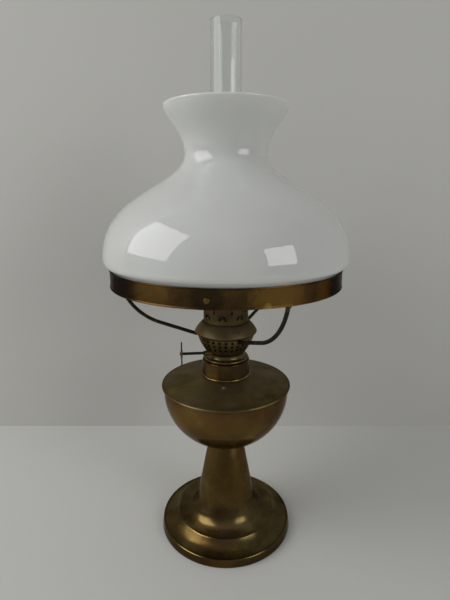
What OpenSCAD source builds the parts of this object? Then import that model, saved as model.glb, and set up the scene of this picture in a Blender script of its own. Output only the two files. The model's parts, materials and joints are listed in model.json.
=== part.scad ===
// Kerosene table lamp: spun brass stand and font, round-wick burner with its
// wick raiser, clear chimney, and an opal glass shade on a lift-off wire carrier.
// Millimetres, +Z up, origin at the middle of the underside, burner knob on the left.

/* [Foot and stem] */
// Diameter of the foot at the table
foot_d = 152.6; // [135:0.2:170]
// Height of the upright rim above the table
rim_h = 8.3; // [6:0.1:11]
// Amount by which the rim narrows towards its top
rim_draft = 1.2; // [0.4:0.1:2]
// Radius of the bead on top of the rim
rim_bead = 0.9; // [0.5:0.05:1.2]
// Clearance of the rim above the table
rim_lift = 0.5; // [0.2:0.1:0.8]
// Diameter of the ridge between the cove and the flare
ridge_d = 112; // [100:0.5:120]
// Height of the ridge above the rim
cove_h = 9.9; // [8:0.1:12]
// How far the cove's bend lies outside the ridge
cove_reach = 9.5; // [7:0.5:12]
// Height of the flare between ridge and stem
flare_h = 16.6; // [12:0.2:34]
// Diameter of the stem where the flare ends
stem_base_d = 67.2; // [58:0.2:74]
// Height of the tapered stem
stem_h = 75.2; // [56:0.1:94]
// Diameter of the stem under the font
stem_top_d = 38.8; // [34:0.2:44]
// Sheet thickness of the foot and stem
foot_wall = 0.9; // [0.6:0.05:1.2]

/* [Inside the foot] */
// Thickness of the felt
felt_t = 1.5; // [1:0.1:2.5]
// Gap between the weight and the foot above it
weight_gap = 0.3; // [0.2:0.05:0.5]
// Diameter of the tie rod
rod_d = 6; // [5:0.5:8]
// Height of the tie nut
nut_h = 5; // [4:0.5:6]
// Width of the tie nut over its flats
nut_flats = 10; // [9:0.5:13]
// Outer diameter of the washer
washer_d = 16; // [15:0.5:20]
// Thickness of the washer
washer_t = 1.2; // [0.8:0.1:1.6]
// Length of rod left below the nut
rod_tail = 1.2; // [0.5:0.1:2]
// Diameter of the threaded boss under the font
boss_d = 18; // [14:0.5:22]
// Height of the boss
boss_h = 10; // [8:0.5:14]

/* [Font] */
// Diameter of the bowl at its widest
bowl_d = 138.6; // [124:0.2:150]
// Depth of the bowl's rounded part
bowl_depth = 65; // [56:0.5:74]
// Overhang of the bowl's flat bottom past the stem
bowl_overhang = 0.8; // [0.3:0.1:1.5]
// Height of the upright band over the rounded part
bowl_band = 7.8; // [5:0.2:12]
// Sheet thickness of the bowl
bowl_wall = 0.8; // [0.6:0.05:1.1]
// Width of the flange turned out at the bowl's mouth
bowl_flange = 1.4; // [1:0.1:1.6]
// Overhang of the lid's rolled edge past the bowl
lip_over = 2.5; // [2.4:0.1:3.5]
// Radius of the lid's rolled edge
hem_r = 1.5; // [1.4:0.05:1.8]
// Thickness of the lid over the bowl's flange
lip_t = 1.1; // [0.9:0.05:1.3]
// Rise of the lid from its edge to its hole
lid_rise = 9.5; // [7:0.5:13]
// Sheet thickness of the lid
lid_wall = 0.8; // [0.6:0.05:1]
// Diameter of the hole in the lid
lid_hole_d = 48; // [47:0.2:50]

/* [Collar] */
// Outer diameter of the collar
collar_d = 52; // [51:0.2:56]
// Height of the collar above the lid
collar_h = 19.1; // [16:0.1:24]
// Bore of the collar at its thread
collar_bore_d = 45.4; // [44.6:0.1:46]
// Radius of the bead at the collar's foot
collar_bead = 1.3; // [0.9:0.1:1.6]
// Radius of the collar's top edge
collar_round = 1.4; // [0.8:0.1:1.6]
// Depth of the collar's spigot below the lid
spigot_h = 4; // [2:0.5:6]

/* [Burner base and basket] */
// Radial clearance of the burner's thread in the collar
thread_gap = 0.3; // [0.2:0.05:0.4]
// Length of the threaded skirt
skirt_h = 13; // [9:0.5:16]
// Wall of the threaded skirt
skirt_wall = 1.2; // [0.8:0.1:1.6]
// Diameter of the bead on the collar
base_bead_d = 49.6; // [49:0.1:51]
// Radius of that bead
base_bead = 1.5; // [1:0.1:1.7]
// Height from the collar to the basket
base_h = 7.2; // [6:0.1:9]
// Diameter of the neck under the basket
neck_d = 40.6; // [39:0.2:43]
// Wall of the neck and thickness of the floor
base_wall = 0.8; // [0.6:0.1:1]
// Diameter of the basket at its top
basket_d = 62; // [58:0.2:66]
// Height of the basket
basket_h = 21.2; // [20.2:0.1:24]
// Sheet thickness of the basket
basket_wall = 0.6; // [0.4:0.05:0.8]
// Diameter of the air holes
air_hole_d = 3.4; // [2:0.1:3.6]
// Air holes in each row
air_holes = 28; // [20:1:30]
// Rows of air holes
air_rows = 3; // [1:1:3]
// Height between the rows
air_pitch = 4.8; // [4:0.1:4.9]
// Depth of the top row below the basket's rim
air_top = 2.4; // [2.4:0.1:3.2]

/* [Wick and its tubes] */
// Outer diameter of the round wick
wick_d = 21.4; // [19:0.2:23]
// Thickness of the wick
wick_t = 2; // [1.6:0.1:2.4]
// Clearance of the wick in its tubes
wick_gap = 0.3; // [0.2:0.05:0.4]
// Sheet thickness of both tubes
tube_wall = 0.6; // [0.4:0.05:0.8]
// Height of the tubes above the basket's rim
tube_rise = 41; // [36:0.5:44]
// Depth of the outer tube below the collar's top
tube_drop = 9; // [6:0.5:14]
// Wick left standing above the tubes
wick_show = 1.5; // [0.5:0.1:3]
// Downward travel of the wick
wick_down = 10; // [4:0.5:12]
// Clearance of the wick's tail over the bowl's floor
tail_gap = 5; // [2:0.5:20]
// Width of the air duct into the inner tube
duct_w = 5; // [4:0.2:6]
// Height of the air duct
duct_h = 14; // [10:0.5:15]

/* [Wick raiser] */
// Turn of the raiser about the lamp's axis, in degrees
raiser_turn = 6; // [-10:1:20]
// Diameter of the spindle
shaft_d = 3; // [2.4:0.1:3.4]
// Running clearance of the spindle in its bearings
shaft_gap = 0.05; // [0.02:0.01:0.1]
// Distance of the spindle from the outer tube
shaft_out = 2.2; // [2:0.1:2.6]
// Height of the spindle above the basket's foot
shaft_rise = 3.7; // [3.5:0.1:4]
// Distance of each sprocket from the middle
sprocket_x = 4; // [3.4:0.1:5]
// Thickness of a sprocket
sprocket_t = 1.2; // [0.8:0.1:1.6]
// Teeth on a sprocket
sprocket_teeth = 10; // [8:1:12]
// Depth of the sprocket's teeth
tooth_h = 1; // [0.6:0.1:1.2]
// Clearance of the teeth from the wick
tooth_gap = 0.3; // [0.2:0.05:0.4]
// Distance of each bearing ear from the middle
ear_x = 8.5; // [7.5:0.1:9.2]
// Thickness of the bearing ears
ear_t = 1; // [0.8:0.1:1.4]
// Outer diameter of the bush in the basket
bush_d = 5.4; // [4.8:0.1:5.6]
// Distance of the knob from the lamp's axis
knob_x = 49; // [44:0.5:58]
// Diameter of the knob
knob_d = 25; // [20:0.5:30]
// Thickness of the knob at its hub
knob_t = 2.2; // [1.8:0.1:3]
// Grooves in the knob's edge
knob_grooves = 48; // [24:2:60]

/* [Chimney and gallery] */
// Diameter of the chimney's base
chimney_base_d = 46.4; // [44:0.2:47]
// Height of the chimney
chimney_h = 288.7; // [240:0.5:320]
// Height of the chimney's wide base
chimney_base_h = 30; // [26:0.5:36]
// Height of the shoulder over the base
shoulder_h = 16; // [10:0.5:24]
// Diameter of the chimney's tube
flue_d = 30; // [27:0.2:34]
// Wall of the chimney
chimney_wall = 1.7; // [1.2:0.1:2]
// Clearance of the chimney in the gallery
chimney_gap = 0.4; // [0.3:0.05:0.6]
// Sheet thickness of the gallery
gallery_wall = 0.7; // [0.5:0.05:0.8]
// Height of the gallery
gallery_h = 39.3; // [36:0.1:46]
// Height of the chimney's ledge above the basket
ledge_h = 16.3; // [15.1:0.1:18]
// Width of the ledge
ledge_w = 4.6; // [3:0.1:5.5]
// Number of spring fingers
fingers = 8; // [6:1:10]
// Turn of the piercing about the axis, in degrees
piercing_turn = 14.5; // [-22:0.5:22]
// Height of the arched cuts above the ledge
arch_h = 4.8; // [4:0.1:6]
// Diameter of the arched cuts
arch_d = 8.6; // [6.5:0.1:9]
// Width of the tab that hangs in each arch
arch_tab = 3.8; // [3:0.1:4.2]
// Depth of the arches' legs below their middle
arch_leg = 1.2; // [0.5:0.1:2]
// Height of the finger slits' round ends above the ledge
slit_h = 12; // [11:0.1:14]
// Diameter of the slits' round ends
slit_eye_d = 3; // [2:0.1:3.4]
// Width of the slits
slit_w = 1; // [0.6:0.1:1.6]

/* [Shade carrier] */
// Diameter of the domed hub
hub_d = 67.6; // [66:0.2:72]
// Height of the hub
hub_h = 14.9; // [13:0.1:17]
// Height of the hub's widest line above its seat
hub_belt_h = 3.8; // [3:0.1:5.5]
// Height of the upright edge under that line
hub_edge_h = 1; // [0.6:0.1:1.6]
// Bulge of the hub's dome past a straight cone
hub_bulge = 0.7; // [0.4:0.1:2]
// Sheet thickness of the hub
hub_wall = 0.8; // [0.6:0.05:1]
// Clearance of the hub round the gallery
hub_gap = 0.6; // [0.3:0.05:0.8]
// Diameter of the wire of the arms
wire_d = 4; // [3:0.1:4.4]
// Rise of the arms at the hub, in degrees
arm_slope = 17; // [12:0.5:24]
// Bend radius of the arms
arm_bend_r = 61; // [54:1:76]
// Depth of the wire's axis below the hub's seat
arm_drop = 1.5; // [1.2:0.1:2]
// Diameter of the pad that ends each arm under the ring
arm_pad_d = 5.6; // [5:0.1:6.5]
// Height of that pad
arm_pad_h = 2.2; // [2:0.1:3]
// Direction of the first arm from the front, in degrees
arm_turn = 27; // [0:1:60]
// Height of the ring above the basket
ring_rise = 57.9; // [50:0.1:70]
// Height of the ring's band
ring_h = 18.1; // [15:0.1:19]
// Sheet thickness of the ring
ring_wall = 0.7; // [0.5:0.05:1]
// Radius of the ring's beads
ring_bead = 0.65; // [0.55:0.05:0.8]
// Width of the ledge under the shade
ring_ledge = 7.2; // [6:0.1:12]
// Clearance of the shade in the ring
shade_gap = 1.5; // [1.2:0.1:2]
// Height of the screws in the band
screw_h = 7.7; // [5:0.1:9]
// Direction of the first screw from the front, in degrees
screw_turn = -7.6; // [-30:0.1:20]
// Diameter of the screws' heads
screw_head_d = 5.2; // [4:0.1:6]
// Diameter of the screws' shanks
screw_d = 2.8; // [2:0.1:3]

/* [Shade] */
// Diameter of the shade's foot
shade_foot_d = 234.4; // [214:0.2:250]
// Height of the shade
shade_h = 173; // [160:0.5:190]
// Height of the straight foot
shade_step = 13.5; // [13:0.1:16]
// Diameter of the belly
belly_d = 250.6; // [244:0.2:270]
// Height of the belly's widest line
belly_h = 27; // [25:0.5:32]
// Diameter of the neck
shade_neck_d = 82.2; // [72:0.2:92]
// Height of the neck's narrowest line
shade_neck_h = 128.5; // [118:0.5:136]
// Upward fullness of the belly
belly_full = 66; // [50:1:74]
// Downward fullness of the neck
neck_full = 32; // [24:1:44]
// Diameter of the mouth
mouth_d = 123; // [108:0.5:134]
// Wall of the shade
shade_wall = 3; // [2.4:0.1:3.4]

/* [Hidden] */
$fn = 72;

// Steps along a curve, along the basket's slight curve, and along a small bead
curve_n = 14;
basket_n = 6;
bead_n = 6;
// Gap of soldered and pressed round fits, and the reach of a cut past a face
fit_gap = 0.03;
past = 1;

// Colours of the materials
brass = [0.50, 0.36, 0.16];
burner_brass = [0.34, 0.25, 0.14];
wire_brown = [0.18, 0.13, 0.09];
steel = [0.55, 0.55, 0.56];

// Foot and stem
foot_r = foot_d / 2;
rim_top_r = foot_r - rim_draft;
valley = [rim_top_r - 2 * rim_bead, rim_h];
ridge = [ridge_d / 2, rim_h + cove_h];
stem_base_r = stem_base_d / 2;
stem_base_z = ridge[1] + flare_h;
stem_top_r = stem_top_d / 2;
stem_top_z = stem_base_z + stem_h;
stem_taper = (stem_base_r - stem_top_r) / stem_h;
// The flare leaves the ridge almost level and meets the stem's own slope
flare_lift = 1.5;
flare_bend = [stem_base_r + stem_taper * (flare_h - flare_lift), ridge[1] + flare_lift];
// The cove falls from the ridge and runs out almost level at the rim
cove_lift = 1.2;
cove_bend = [ridge[0] + cove_reach, rim_h + cove_lift];
cove = bez2(valley, cove_bend, ridge);

// Inside the foot
rod_r = rod_d / 2;
boss_r = boss_d / 2;
boss_hole_r = boss_r + 2 * weight_gap;
nut_z = felt_t + rod_tail + weight_gap;
washer_z = nut_z + nut_h;
pocket_z = washer_z + washer_t;
pocket_r = washer_d / 2 + past;
weight_r = rim_top_r - foot_wall - weight_gap;
weight_top = ridge[1] - 2 * foot_wall;
weight_crown = [for (p = parallel(cove, -foot_wall - weight_gap)) if (p[1] < weight_top) p];
rod_hole_r = rod_r + weight_gap;
boss_floor = 2;

// Font
bowl_r = bowl_d / 2;
bowl_flat_r = stem_top_r + bowl_overhang;
bowl_flat_a = asin(bowl_flat_r / bowl_r);
bowl_mid_z = stem_top_z + bowl_depth * cos(bowl_flat_a);
seam_z = bowl_mid_z + bowl_band;
flange_r = bowl_r + bowl_flange;
lip_r = bowl_r + lip_over;
lip_z = seam_z + lip_t;
lid_edge_r = lip_r - hem_r;
lid_hole_r = lid_hole_d / 2;
lid_slope = lid_rise / (lid_edge_r - lid_hole_r);
lid_tv = lid_wall * sqrt(1 + lid_slope * lid_slope);

// Collar and burner base
collar_r = collar_d / 2;
collar_bore_r = collar_bore_d / 2;
collar_z = lid_z(collar_r) + collar_h;
skirt_r = collar_bore_r - thread_gap;
neck_r = neck_d / 2;
neck_z = collar_z + base_h;
floor_z = collar_z + base_wall;

// Basket
basket_r = basket_d / 2;
basket_z = neck_z + basket_h;
// Place of the basket's fullest point, as shares of its width and height
basket_full = [0.82, 0.57];
basket_bend = [neck_r + basket_full[0] * (basket_r - neck_r), neck_z + basket_full[1] * basket_h];

// Wick and tubes
wick_r = wick_d / 2;
wick_in_r = wick_r - wick_t;
tube_in_r = wick_r + wick_gap;
tube_r = tube_in_r + tube_wall;
air_r = wick_in_r - wick_gap;
tube_z = basket_z + tube_rise;
duct_z = neck_z + past;
wick_low_z = stem_top_z + bowl_wall + wick_down + tail_gap;
wick_slot_z = duct_z + duct_h + wick_down + wick_gap;

// Wick raiser
shaft_r = shaft_d / 2;
shaft_y = -(tube_r + shaft_out);
shaft_z = neck_z + shaft_rise;
bearing_r = shaft_r + shaft_gap;
sprocket_near_x = sprocket_x - sprocket_t / 2;
sprocket_r = -shaft_y - sqrt(wick_r * wick_r - sprocket_near_x * sprocket_near_x) - tooth_gap;
// Half the height of the slot that lets a sprocket reach the wick
tooth_slot = sqrt(pow(sprocket_r, 2) - pow(-shaft_y - tube_r, 2)) + tooth_gap;
ear_wall = 1.4;
shaft_end_x = ear_x + ear_t / 2 + past;
bush_out = 5.5;
bush_in = 3;
// Radius of the basket at the spindle, and where along the spindle that is
shaft_wall_r = neck_r + shaft_rise * (basket_bend[0] - neck_r) / (basket_bend[1] - neck_z);
shaft_wall_x = sqrt(shaft_wall_r * shaft_wall_r - shaft_y * shaft_y);
bush_start_x = shaft_wall_x - bush_in;
bush_end_x = shaft_wall_x + bush_out;
stop_w = 1.5;
rivet_h = 0.9;
shaft_start_x = knob_x + knob_t / 2 + rivet_h;

// Gallery and chimney
chimney_r = chimney_base_d / 2;
gallery_in_r = chimney_r + chimney_gap;
gallery_r = gallery_in_r + gallery_wall;
ledge_r = gallery_in_r - ledge_w;
ledge_z = basket_z + ledge_h;
gallery_z = basket_z + gallery_h;
flue_r = flue_d / 2;
chimney_z = ledge_z + chimney_h;

// Carrier
hub_r = hub_d / 2;
hub_hole_r = gallery_r + hub_gap;
hub_over = 0.3;
hub_lip_r = basket_r + hub_over;
hub_belt = [hub_r, basket_z + hub_belt_h];
hub_z = basket_z + hub_h;
wire_r = wire_d / 2;
// Angle from one arm to the next, and from one ring screw to the next
third = 120;
shade_foot_r = shade_foot_d / 2;
ring_in_r = shade_foot_r + shade_gap;
ring_r = ring_in_r + ring_wall;
ring_z = basket_z + ring_rise;
ring_ledge_r = ring_in_r - ring_ledge;
seat_z = ring_z + ring_wall;
// Clearance of the screws' tips from the shade
screw_gap = 0.6;
// Turn at which the ring's beads run into its band
bead_turn = 60;
// Each arm runs straight from the hub and then bends up to the ring's ledge
arm_start = [hub_lip_r + hub_over, basket_z - arm_drop];
arm_end = [ring_ledge_r + ring_ledge / 2, ring_z - arm_pad_h / 2];
arm_dir = [cos(arm_slope), sin(arm_slope)];
arm_up = [-sin(arm_slope), cos(arm_slope)];
arm_w = arm_start + arm_bend_r * arm_up - arm_end;
arm_run = -(arm_w * arm_dir) - sqrt(pow(arm_w * arm_dir, 2) - arm_w * arm_w + arm_bend_r * arm_bend_r);
arm_bend = arm_start + arm_run * arm_dir;
arm_centre = arm_bend + arm_bend_r * arm_up;
arm_end_a = atan2(arm_end[1] - arm_centre[1], arm_end[0] - arm_centre[0]);
arm_sweep = arm_end_a + 90 - arm_slope;

// Shade
belly = [belly_d / 2, seat_z + belly_h];
shade_waist = [shade_neck_d / 2, seat_z + shade_neck_h];
shade_rim = [mouth_d / 2, seat_z + shade_h];
// Pull of the curves at the foot's step and at the mouth
step_pull = 7;
waist_pull = 19;
rim_pull = [1.5, 12];

// Quadratic and cubic curves, arcs, and the line parallel to an outline
function bez2(a, b, c, n = curve_n) = [for (i = [0:n]) let (t = i / n)
    (1 - t) * (1 - t) * a + 2 * t * (1 - t) * b + t * t * c];
function bez3(a, b, c, d) = [for (i = [0:curve_n]) let (t = i / curve_n, s = 1 - t)
    s * s * s * a + 3 * s * s * t * b + 3 * s * t * t * c + t * t * t * d];
function arc(c, r, a0, a1, n) = [for (i = [0:n]) let (a = a0 + (a1 - a0) * i / n)
    c + r * [cos(a), sin(a)]];
function side(p, q) = [q[1] - p[1], p[0] - q[0]] / norm(q - p);
function parallel(p, t) = let (last = len(p) - 1) [for (i = [0:last]) let (
    n0 = side(p[max(i - 1, 0)], p[max(i, 1)]),
    n1 = side(p[min(i, last - 1)], p[min(i + 1, last)]),
    m = n0 + n1) p[i] + t * 2 * m / (m * m)];
// Inside of a sheet whose two ends are cut level
function level_inside(p, t) = let (q = parallel(p, -t), last = len(p) - 1) [for (i = [0:last])
    i == 0 ? p[0] - [t / side(p[0], p[1])[0], 0]
    : i == last ? p[last] - [t / side(p[last - 1], p[last])[0], 0] : q[i]];
function back(p) = [for (i = [len(p) - 1:-1:0]) p[i]];
function tail(p) = [for (i = [1:len(p) - 1]) p[i]];
// Height of the lid's upper face at a radius
function lid_z(r) = lip_z + (lid_edge_r - r) * lid_slope;

module revolve(points) {
    rotate_extrude() polygon(points);
}

module sheet(outline, wall) {
    revolve(concat(outline, back(level_inside(outline, wall))));
}

module foot() {
    rim = concat([[foot_r, rim_lift]], arc([rim_top_r - rim_bead, rim_h], rim_bead, 0, 180, bead_n));
    upper = concat(cove, tail(bez2(ridge, flare_bend, [stem_base_r, stem_base_z])),
        [[stem_top_r, stem_top_z], [boss_hole_r, stem_top_z]]);
    rim_inside = [[rim_top_r - foot_wall, rim_h - foot_wall], [foot_r - foot_wall, rim_lift]];
    color(brass) revolve(concat(rim, tail(upper), back(parallel(upper, -foot_wall)), rim_inside));
}

module foot_weight() {
    edge = weight_crown[0];
    top = weight_crown[len(weight_crown) - 1][1];
    color("dimgray") revolve(concat([[rod_hole_r, pocket_z], [pocket_r, pocket_z],
        [pocket_r, felt_t], [weight_r, felt_t], [weight_r, edge[1] - weight_gap]],
        weight_crown, [[rod_hole_r, top]]));
}

module base_felt() {
    color("darkolivegreen") cylinder(r = weight_r, h = felt_t);
}

module tie_rod() {
    rod_z = nut_z - rod_tail;
    color(steel) translate([0, 0, rod_z])
        cylinder(r = rod_r, h = stem_top_z - boss_floor - weight_gap - rod_z);
}

module tie_washer() {
    color(steel) translate([0, 0, washer_z]) difference() {
        cylinder(d = washer_d, h = washer_t);
        translate([0, 0, -past]) cylinder(r = rod_hole_r, h = washer_t + 2 * past);
    }
}

module tie_nut() {
    color(steel) translate([0, 0, nut_z]) difference() {
        cylinder(d = nut_flats / cos(30), h = nut_h, $fn = 6);
        translate([0, 0, -past]) cylinder(r = rod_r + fit_gap, h = nut_h + 2 * past);
    }
}

module font_boss() {
    color(brass) translate([0, 0, stem_top_z - boss_h]) difference() {
        cylinder(r = boss_r, h = boss_h);
        translate([0, 0, -past]) cylinder(r = rod_r + fit_gap, h = boss_h - boss_floor + past);
    }
}

module font_bowl() {
    round = [for (i = [0:curve_n]) let (a = bowl_flat_a + (90 - bowl_flat_a) * i / curve_n)
        [bowl_r * sin(a), bowl_mid_z - bowl_depth * cos(a)]];
    outside = concat([[0, stem_top_z]], round);
    inside = parallel(concat(outside, [[bowl_r, seam_z]]), -bowl_wall);
    color(brass) revolve(concat(outside, [[bowl_r, seam_z - bowl_wall],
        [flange_r, seam_z - bowl_wall], [flange_r, seam_z]], back(inside)));
}

module font_top() {
    land_r = bowl_r - 2 * bowl_wall;
    fold_r = bowl_r + fit_gap;
    hem_z = lip_z - hem_r;
    color(brass) revolve(concat([[lid_hole_r, lid_z(lid_hole_r) - lid_tv],
        [land_r, lid_z(land_r) - lid_tv], [land_r, seam_z], [flange_r + fit_gap, seam_z],
        [flange_r + fit_gap, seam_z - bowl_wall], [fold_r, seam_z - bowl_wall],
        [fold_r, hem_z - hem_r]], arc([lid_edge_r, hem_z], hem_r, -90, 90, bead_n),
        [[lid_hole_r, lid_z(lid_hole_r)]]));
}

module burner_collar() {
    spigot_r = lid_hole_r - fit_gap;
    foot_z = lid_z(collar_r) + collar_bead;
    round_c = [collar_r - collar_round, collar_z - collar_round];
    color(brass) revolve(concat([[collar_bore_r, lid_z(lid_hole_r) - spigot_h],
        [spigot_r, lid_z(lid_hole_r) - spigot_h], [spigot_r, lid_z(spigot_r)]],
        arc([collar_r, foot_z], collar_bead, -90, 90, bead_n),
        arc(round_c, collar_round, 0, 90, bead_n), [[collar_bore_r, collar_z]]));
}

module burner_base() {
    bead_c = [base_bead_d / 2 - base_bead, collar_z + base_bead];
    sweep_start = bead_c + [0, base_bead];
    sweep = bez2(sweep_start, [neck_r, sweep_start[1]], [neck_r, neck_z]);
    skirt_in_r = skirt_r - skirt_wall;
    neck_in_r = neck_r - base_wall;
    color(burner_brass) revolve(concat([[tube_r + fit_gap, floor_z], [skirt_in_r, floor_z],
        [skirt_in_r, collar_z - skirt_h], [skirt_r, collar_z - skirt_h], [skirt_r, collar_z]],
        arc(bead_c, base_bead, -90, 90, bead_n), tail(sweep),
        [[neck_in_r, neck_z], [neck_in_r, floor_z + base_wall],
        [tube_r + fit_gap, floor_z + base_wall]]));
}

module air_hole_rows() {
    for (row = [0:air_rows - 1], i = [0:air_holes - 1])
        rotate([0, 0, i * 360 / air_holes])
            translate([neck_r - 2 * past, 0, basket_z - air_top - row * air_pitch])
                rotate([0, 90, 0])
                    cylinder(d = air_hole_d, h = basket_r - neck_r + 4 * past);
}

module burner_basket() {
    rim_in_r = ledge_r;
    color(burner_brass) difference() {
        union() {
            sheet(bez2([neck_r, neck_z], basket_bend, [basket_r, basket_z], basket_n), basket_wall);
            revolve([[rim_in_r, basket_z - basket_wall], [basket_r - basket_wall, basket_z - basket_wall],
                [basket_r - basket_wall / 2, basket_z], [rim_in_r, basket_z]]);
        }
        air_hole_rows();
        along_shaft(-bush_end_x) cylinder(d = bush_d + 2 * fit_gap, h = bush_end_x - bush_start_x);
    }
}

module chimney_gallery() {
    color(burner_brass) difference() {
        revolve([[gallery_in_r, basket_z], [gallery_r, basket_z], [gallery_r, gallery_z],
            [gallery_in_r, gallery_z], [gallery_in_r, ledge_z], [ledge_r, ledge_z],
            [ledge_r, ledge_z - gallery_wall], [gallery_in_r, ledge_z - gallery_wall]]);
        for (i = [0:fingers - 1])
            rotate([0, 0, piercing_turn + (i + 0.5) * 360 / fingers - 90])
                piercing(ledge_z + arch_h) arch_cut();
        for (i = [0:fingers - 1])
            rotate([0, 0, piercing_turn + i * 360 / fingers - 90])
                piercing(ledge_z + slit_h) slit_cut();
    }
}

// Cuts an upright flat shape through the gallery's wall, facing +X
module piercing(z) {
    translate([gallery_in_r - 2 * past, 0, z]) rotate([90, 0, 90])
        linear_extrude(gallery_wall + 4 * past) children();
}

module arch_cut() {
    tab_top = -arch_tab / 8;
    difference() {
        circle(d = arch_d);
        translate([0, tab_top]) circle(d = arch_tab);
        translate([-arch_tab / 2, tab_top - arch_d]) square([arch_tab, arch_d]);
        translate([-arch_d, -arch_leg - arch_d]) square([2 * arch_d, arch_d]);
    }
}

module slit_cut() {
    circle(d = slit_eye_d);
    translate([-slit_w / 2, 0]) square([slit_w, gallery_h]);
}

module wick_tube() {
    window = duct_w + 2 * fit_gap;
    low_z = collar_z - tube_drop;
    color(burner_brass) difference() {
        revolve([[tube_in_r, low_z], [tube_r, low_z], [tube_r, tube_z], [tube_in_r, tube_z]]);
        rotate([0, 0, raiser_turn]) {
            translate([-window / 2, 0, duct_z - fit_gap])
                cube([window, tube_r + past, duct_h + 2 * fit_gap]);
            for (s = [-1, 1])
                translate([s * sprocket_x - sprocket_t / 2 - tooth_gap, -tube_r - past, shaft_z - tooth_slot])
                    cube([sprocket_t + 2 * tooth_gap, tube_r, 2 * tooth_slot]);
        }
    }
}

module air_tube() {
    air_in_r = air_r - tube_wall;
    duct_in = duct_w - 2 * tube_wall;
    color(burner_brass) rotate([0, 0, raiser_turn]) difference() {
        union() {
            translate([0, 0, duct_z - tube_wall]) cylinder(r = air_r, h = tube_z - duct_z + tube_wall);
            translate([-duct_w / 2, 0, duct_z]) cube([duct_w, tube_r, duct_h]);
        }
        translate([0, 0, duct_z + tube_wall]) cylinder(r = air_in_r, h = tube_z - duct_z + past);
        translate([-duct_in / 2, 0, duct_z + tube_wall])
            cube([duct_in, tube_r + past, duct_h - 2 * tube_wall]);
    }
}

// Lays what is drawn up +Z along the spindle, from a place on its axis
module along_shaft(x) {
    rotate([0, 0, raiser_turn]) translate([x, shaft_y, shaft_z]) rotate([0, 90, 0]) children();
}

module shaft_bracket() {
    ear_r = bearing_r + ear_wall;
    color(burner_brass) for (s = [-1, 1])
        difference() {
            along_shaft(s * ear_x - ear_t / 2) difference() {
                union() {
                    cylinder(r = ear_r, h = ear_t);
                    translate([-ear_r, 0, 0]) cube([2 * ear_r, tube_r, ear_t]);
                }
                translate([0, 0, -past]) cylinder(r = bearing_r, h = ear_t + 2 * past);
            }
            translate([0, 0, neck_z]) cylinder(r = tube_r + fit_gap, h = basket_h);
        }
}

module shaft_bush() {
    long = bush_end_x - bush_start_x;
    color(burner_brass) along_shaft(-bush_end_x) difference() {
        cylinder(d = bush_d, h = long);
        translate([0, 0, -past]) cylinder(r = bearing_r, h = long + 2 * past);
    }
}

module wick_shaft() {
    stop_z = shaft_start_x - bush_end_x - stop_w - tooth_gap;
    end_z = shaft_start_x + shaft_end_x;
    head_r = shaft_r + rivet_h;
    color(wire_brown) along_shaft(-shaft_start_x)
        revolve([[0, 0], [head_r, rivet_h / 2], [head_r, rivet_h], [shaft_r, rivet_h],
            [shaft_r, stop_z], [head_r, stop_z], [head_r, stop_z + stop_w], [shaft_r, stop_z + stop_w],
            [shaft_r, end_z], [0, end_z]]);
}

module sprockets() {
    step = 360 / sprocket_teeth;
    root_r = sprocket_r - tooth_h;
    star = [for (i = [0:sprocket_teeth - 1], k = [0, 1]) let (a = (i + k / 2) * step)
        (k == 0 ? sprocket_r : root_r) * [cos(a), sin(a)]];
    color(steel) for (s = [-1, 1])
        along_shaft(s * sprocket_x - sprocket_t / 2) difference() {
            linear_extrude(sprocket_t) polygon(star);
            translate([0, 0, -past]) cylinder(r = shaft_r + fit_gap, h = sprocket_t + 2 * past);
        }
}

module wick_knob() {
    knob_r = knob_d / 2;
    rim_t = 0.7 * knob_t;
    groove_r = 0.3;
    bore_r = shaft_r + fit_gap;
    boss_w = 1.5;
    hub_rim_r = bore_r + boss_w;
    color(brass) along_shaft(-knob_x - knob_t / 2) difference() {
        revolve([[bore_r, 0], [hub_rim_r, 0], [hub_rim_r + 1, (knob_t - rim_t) / 2],
            [knob_r, (knob_t - rim_t) / 2], [knob_r, (knob_t + rim_t) / 2],
            [hub_rim_r + 1, (knob_t + rim_t) / 2], [hub_rim_r, knob_t], [bore_r, knob_t]]);
        for (i = [0:knob_grooves - 1])
            rotate([0, 0, i * 360 / knob_grooves]) translate([knob_r, 0, -past])
                cylinder(r = groove_r, h = knob_t + 2 * past, $fn = 16);
    }
}

module wick() {
    slot = duct_w + 2 * wick_gap;
    color("antiquewhite") difference() {
        revolve([[wick_in_r, wick_low_z], [wick_r, wick_low_z], [wick_r, tube_z + wick_show],
            [wick_in_r, tube_z + wick_show]]);
        rotate([0, 0, raiser_turn]) translate([-slot / 2, 0, wick_low_z - past])
            cube([slot, wick_r + past, wick_slot_z - wick_low_z + past]);
    }
}

module chimney() {
    base_z = ledge_z + chimney_base_h;
    tube_start = base_z + shoulder_h;
    shoulder = bez3([chimney_r, base_z], [chimney_r, base_z + shoulder_h / 2],
        [flue_r, base_z + shoulder_h / 2], [flue_r, tube_start]);
    color("lightcyan", 0.35)
        sheet(concat([[chimney_r, ledge_z]], shoulder, [[flue_r, chimney_z]]), chimney_wall);
}

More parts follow.
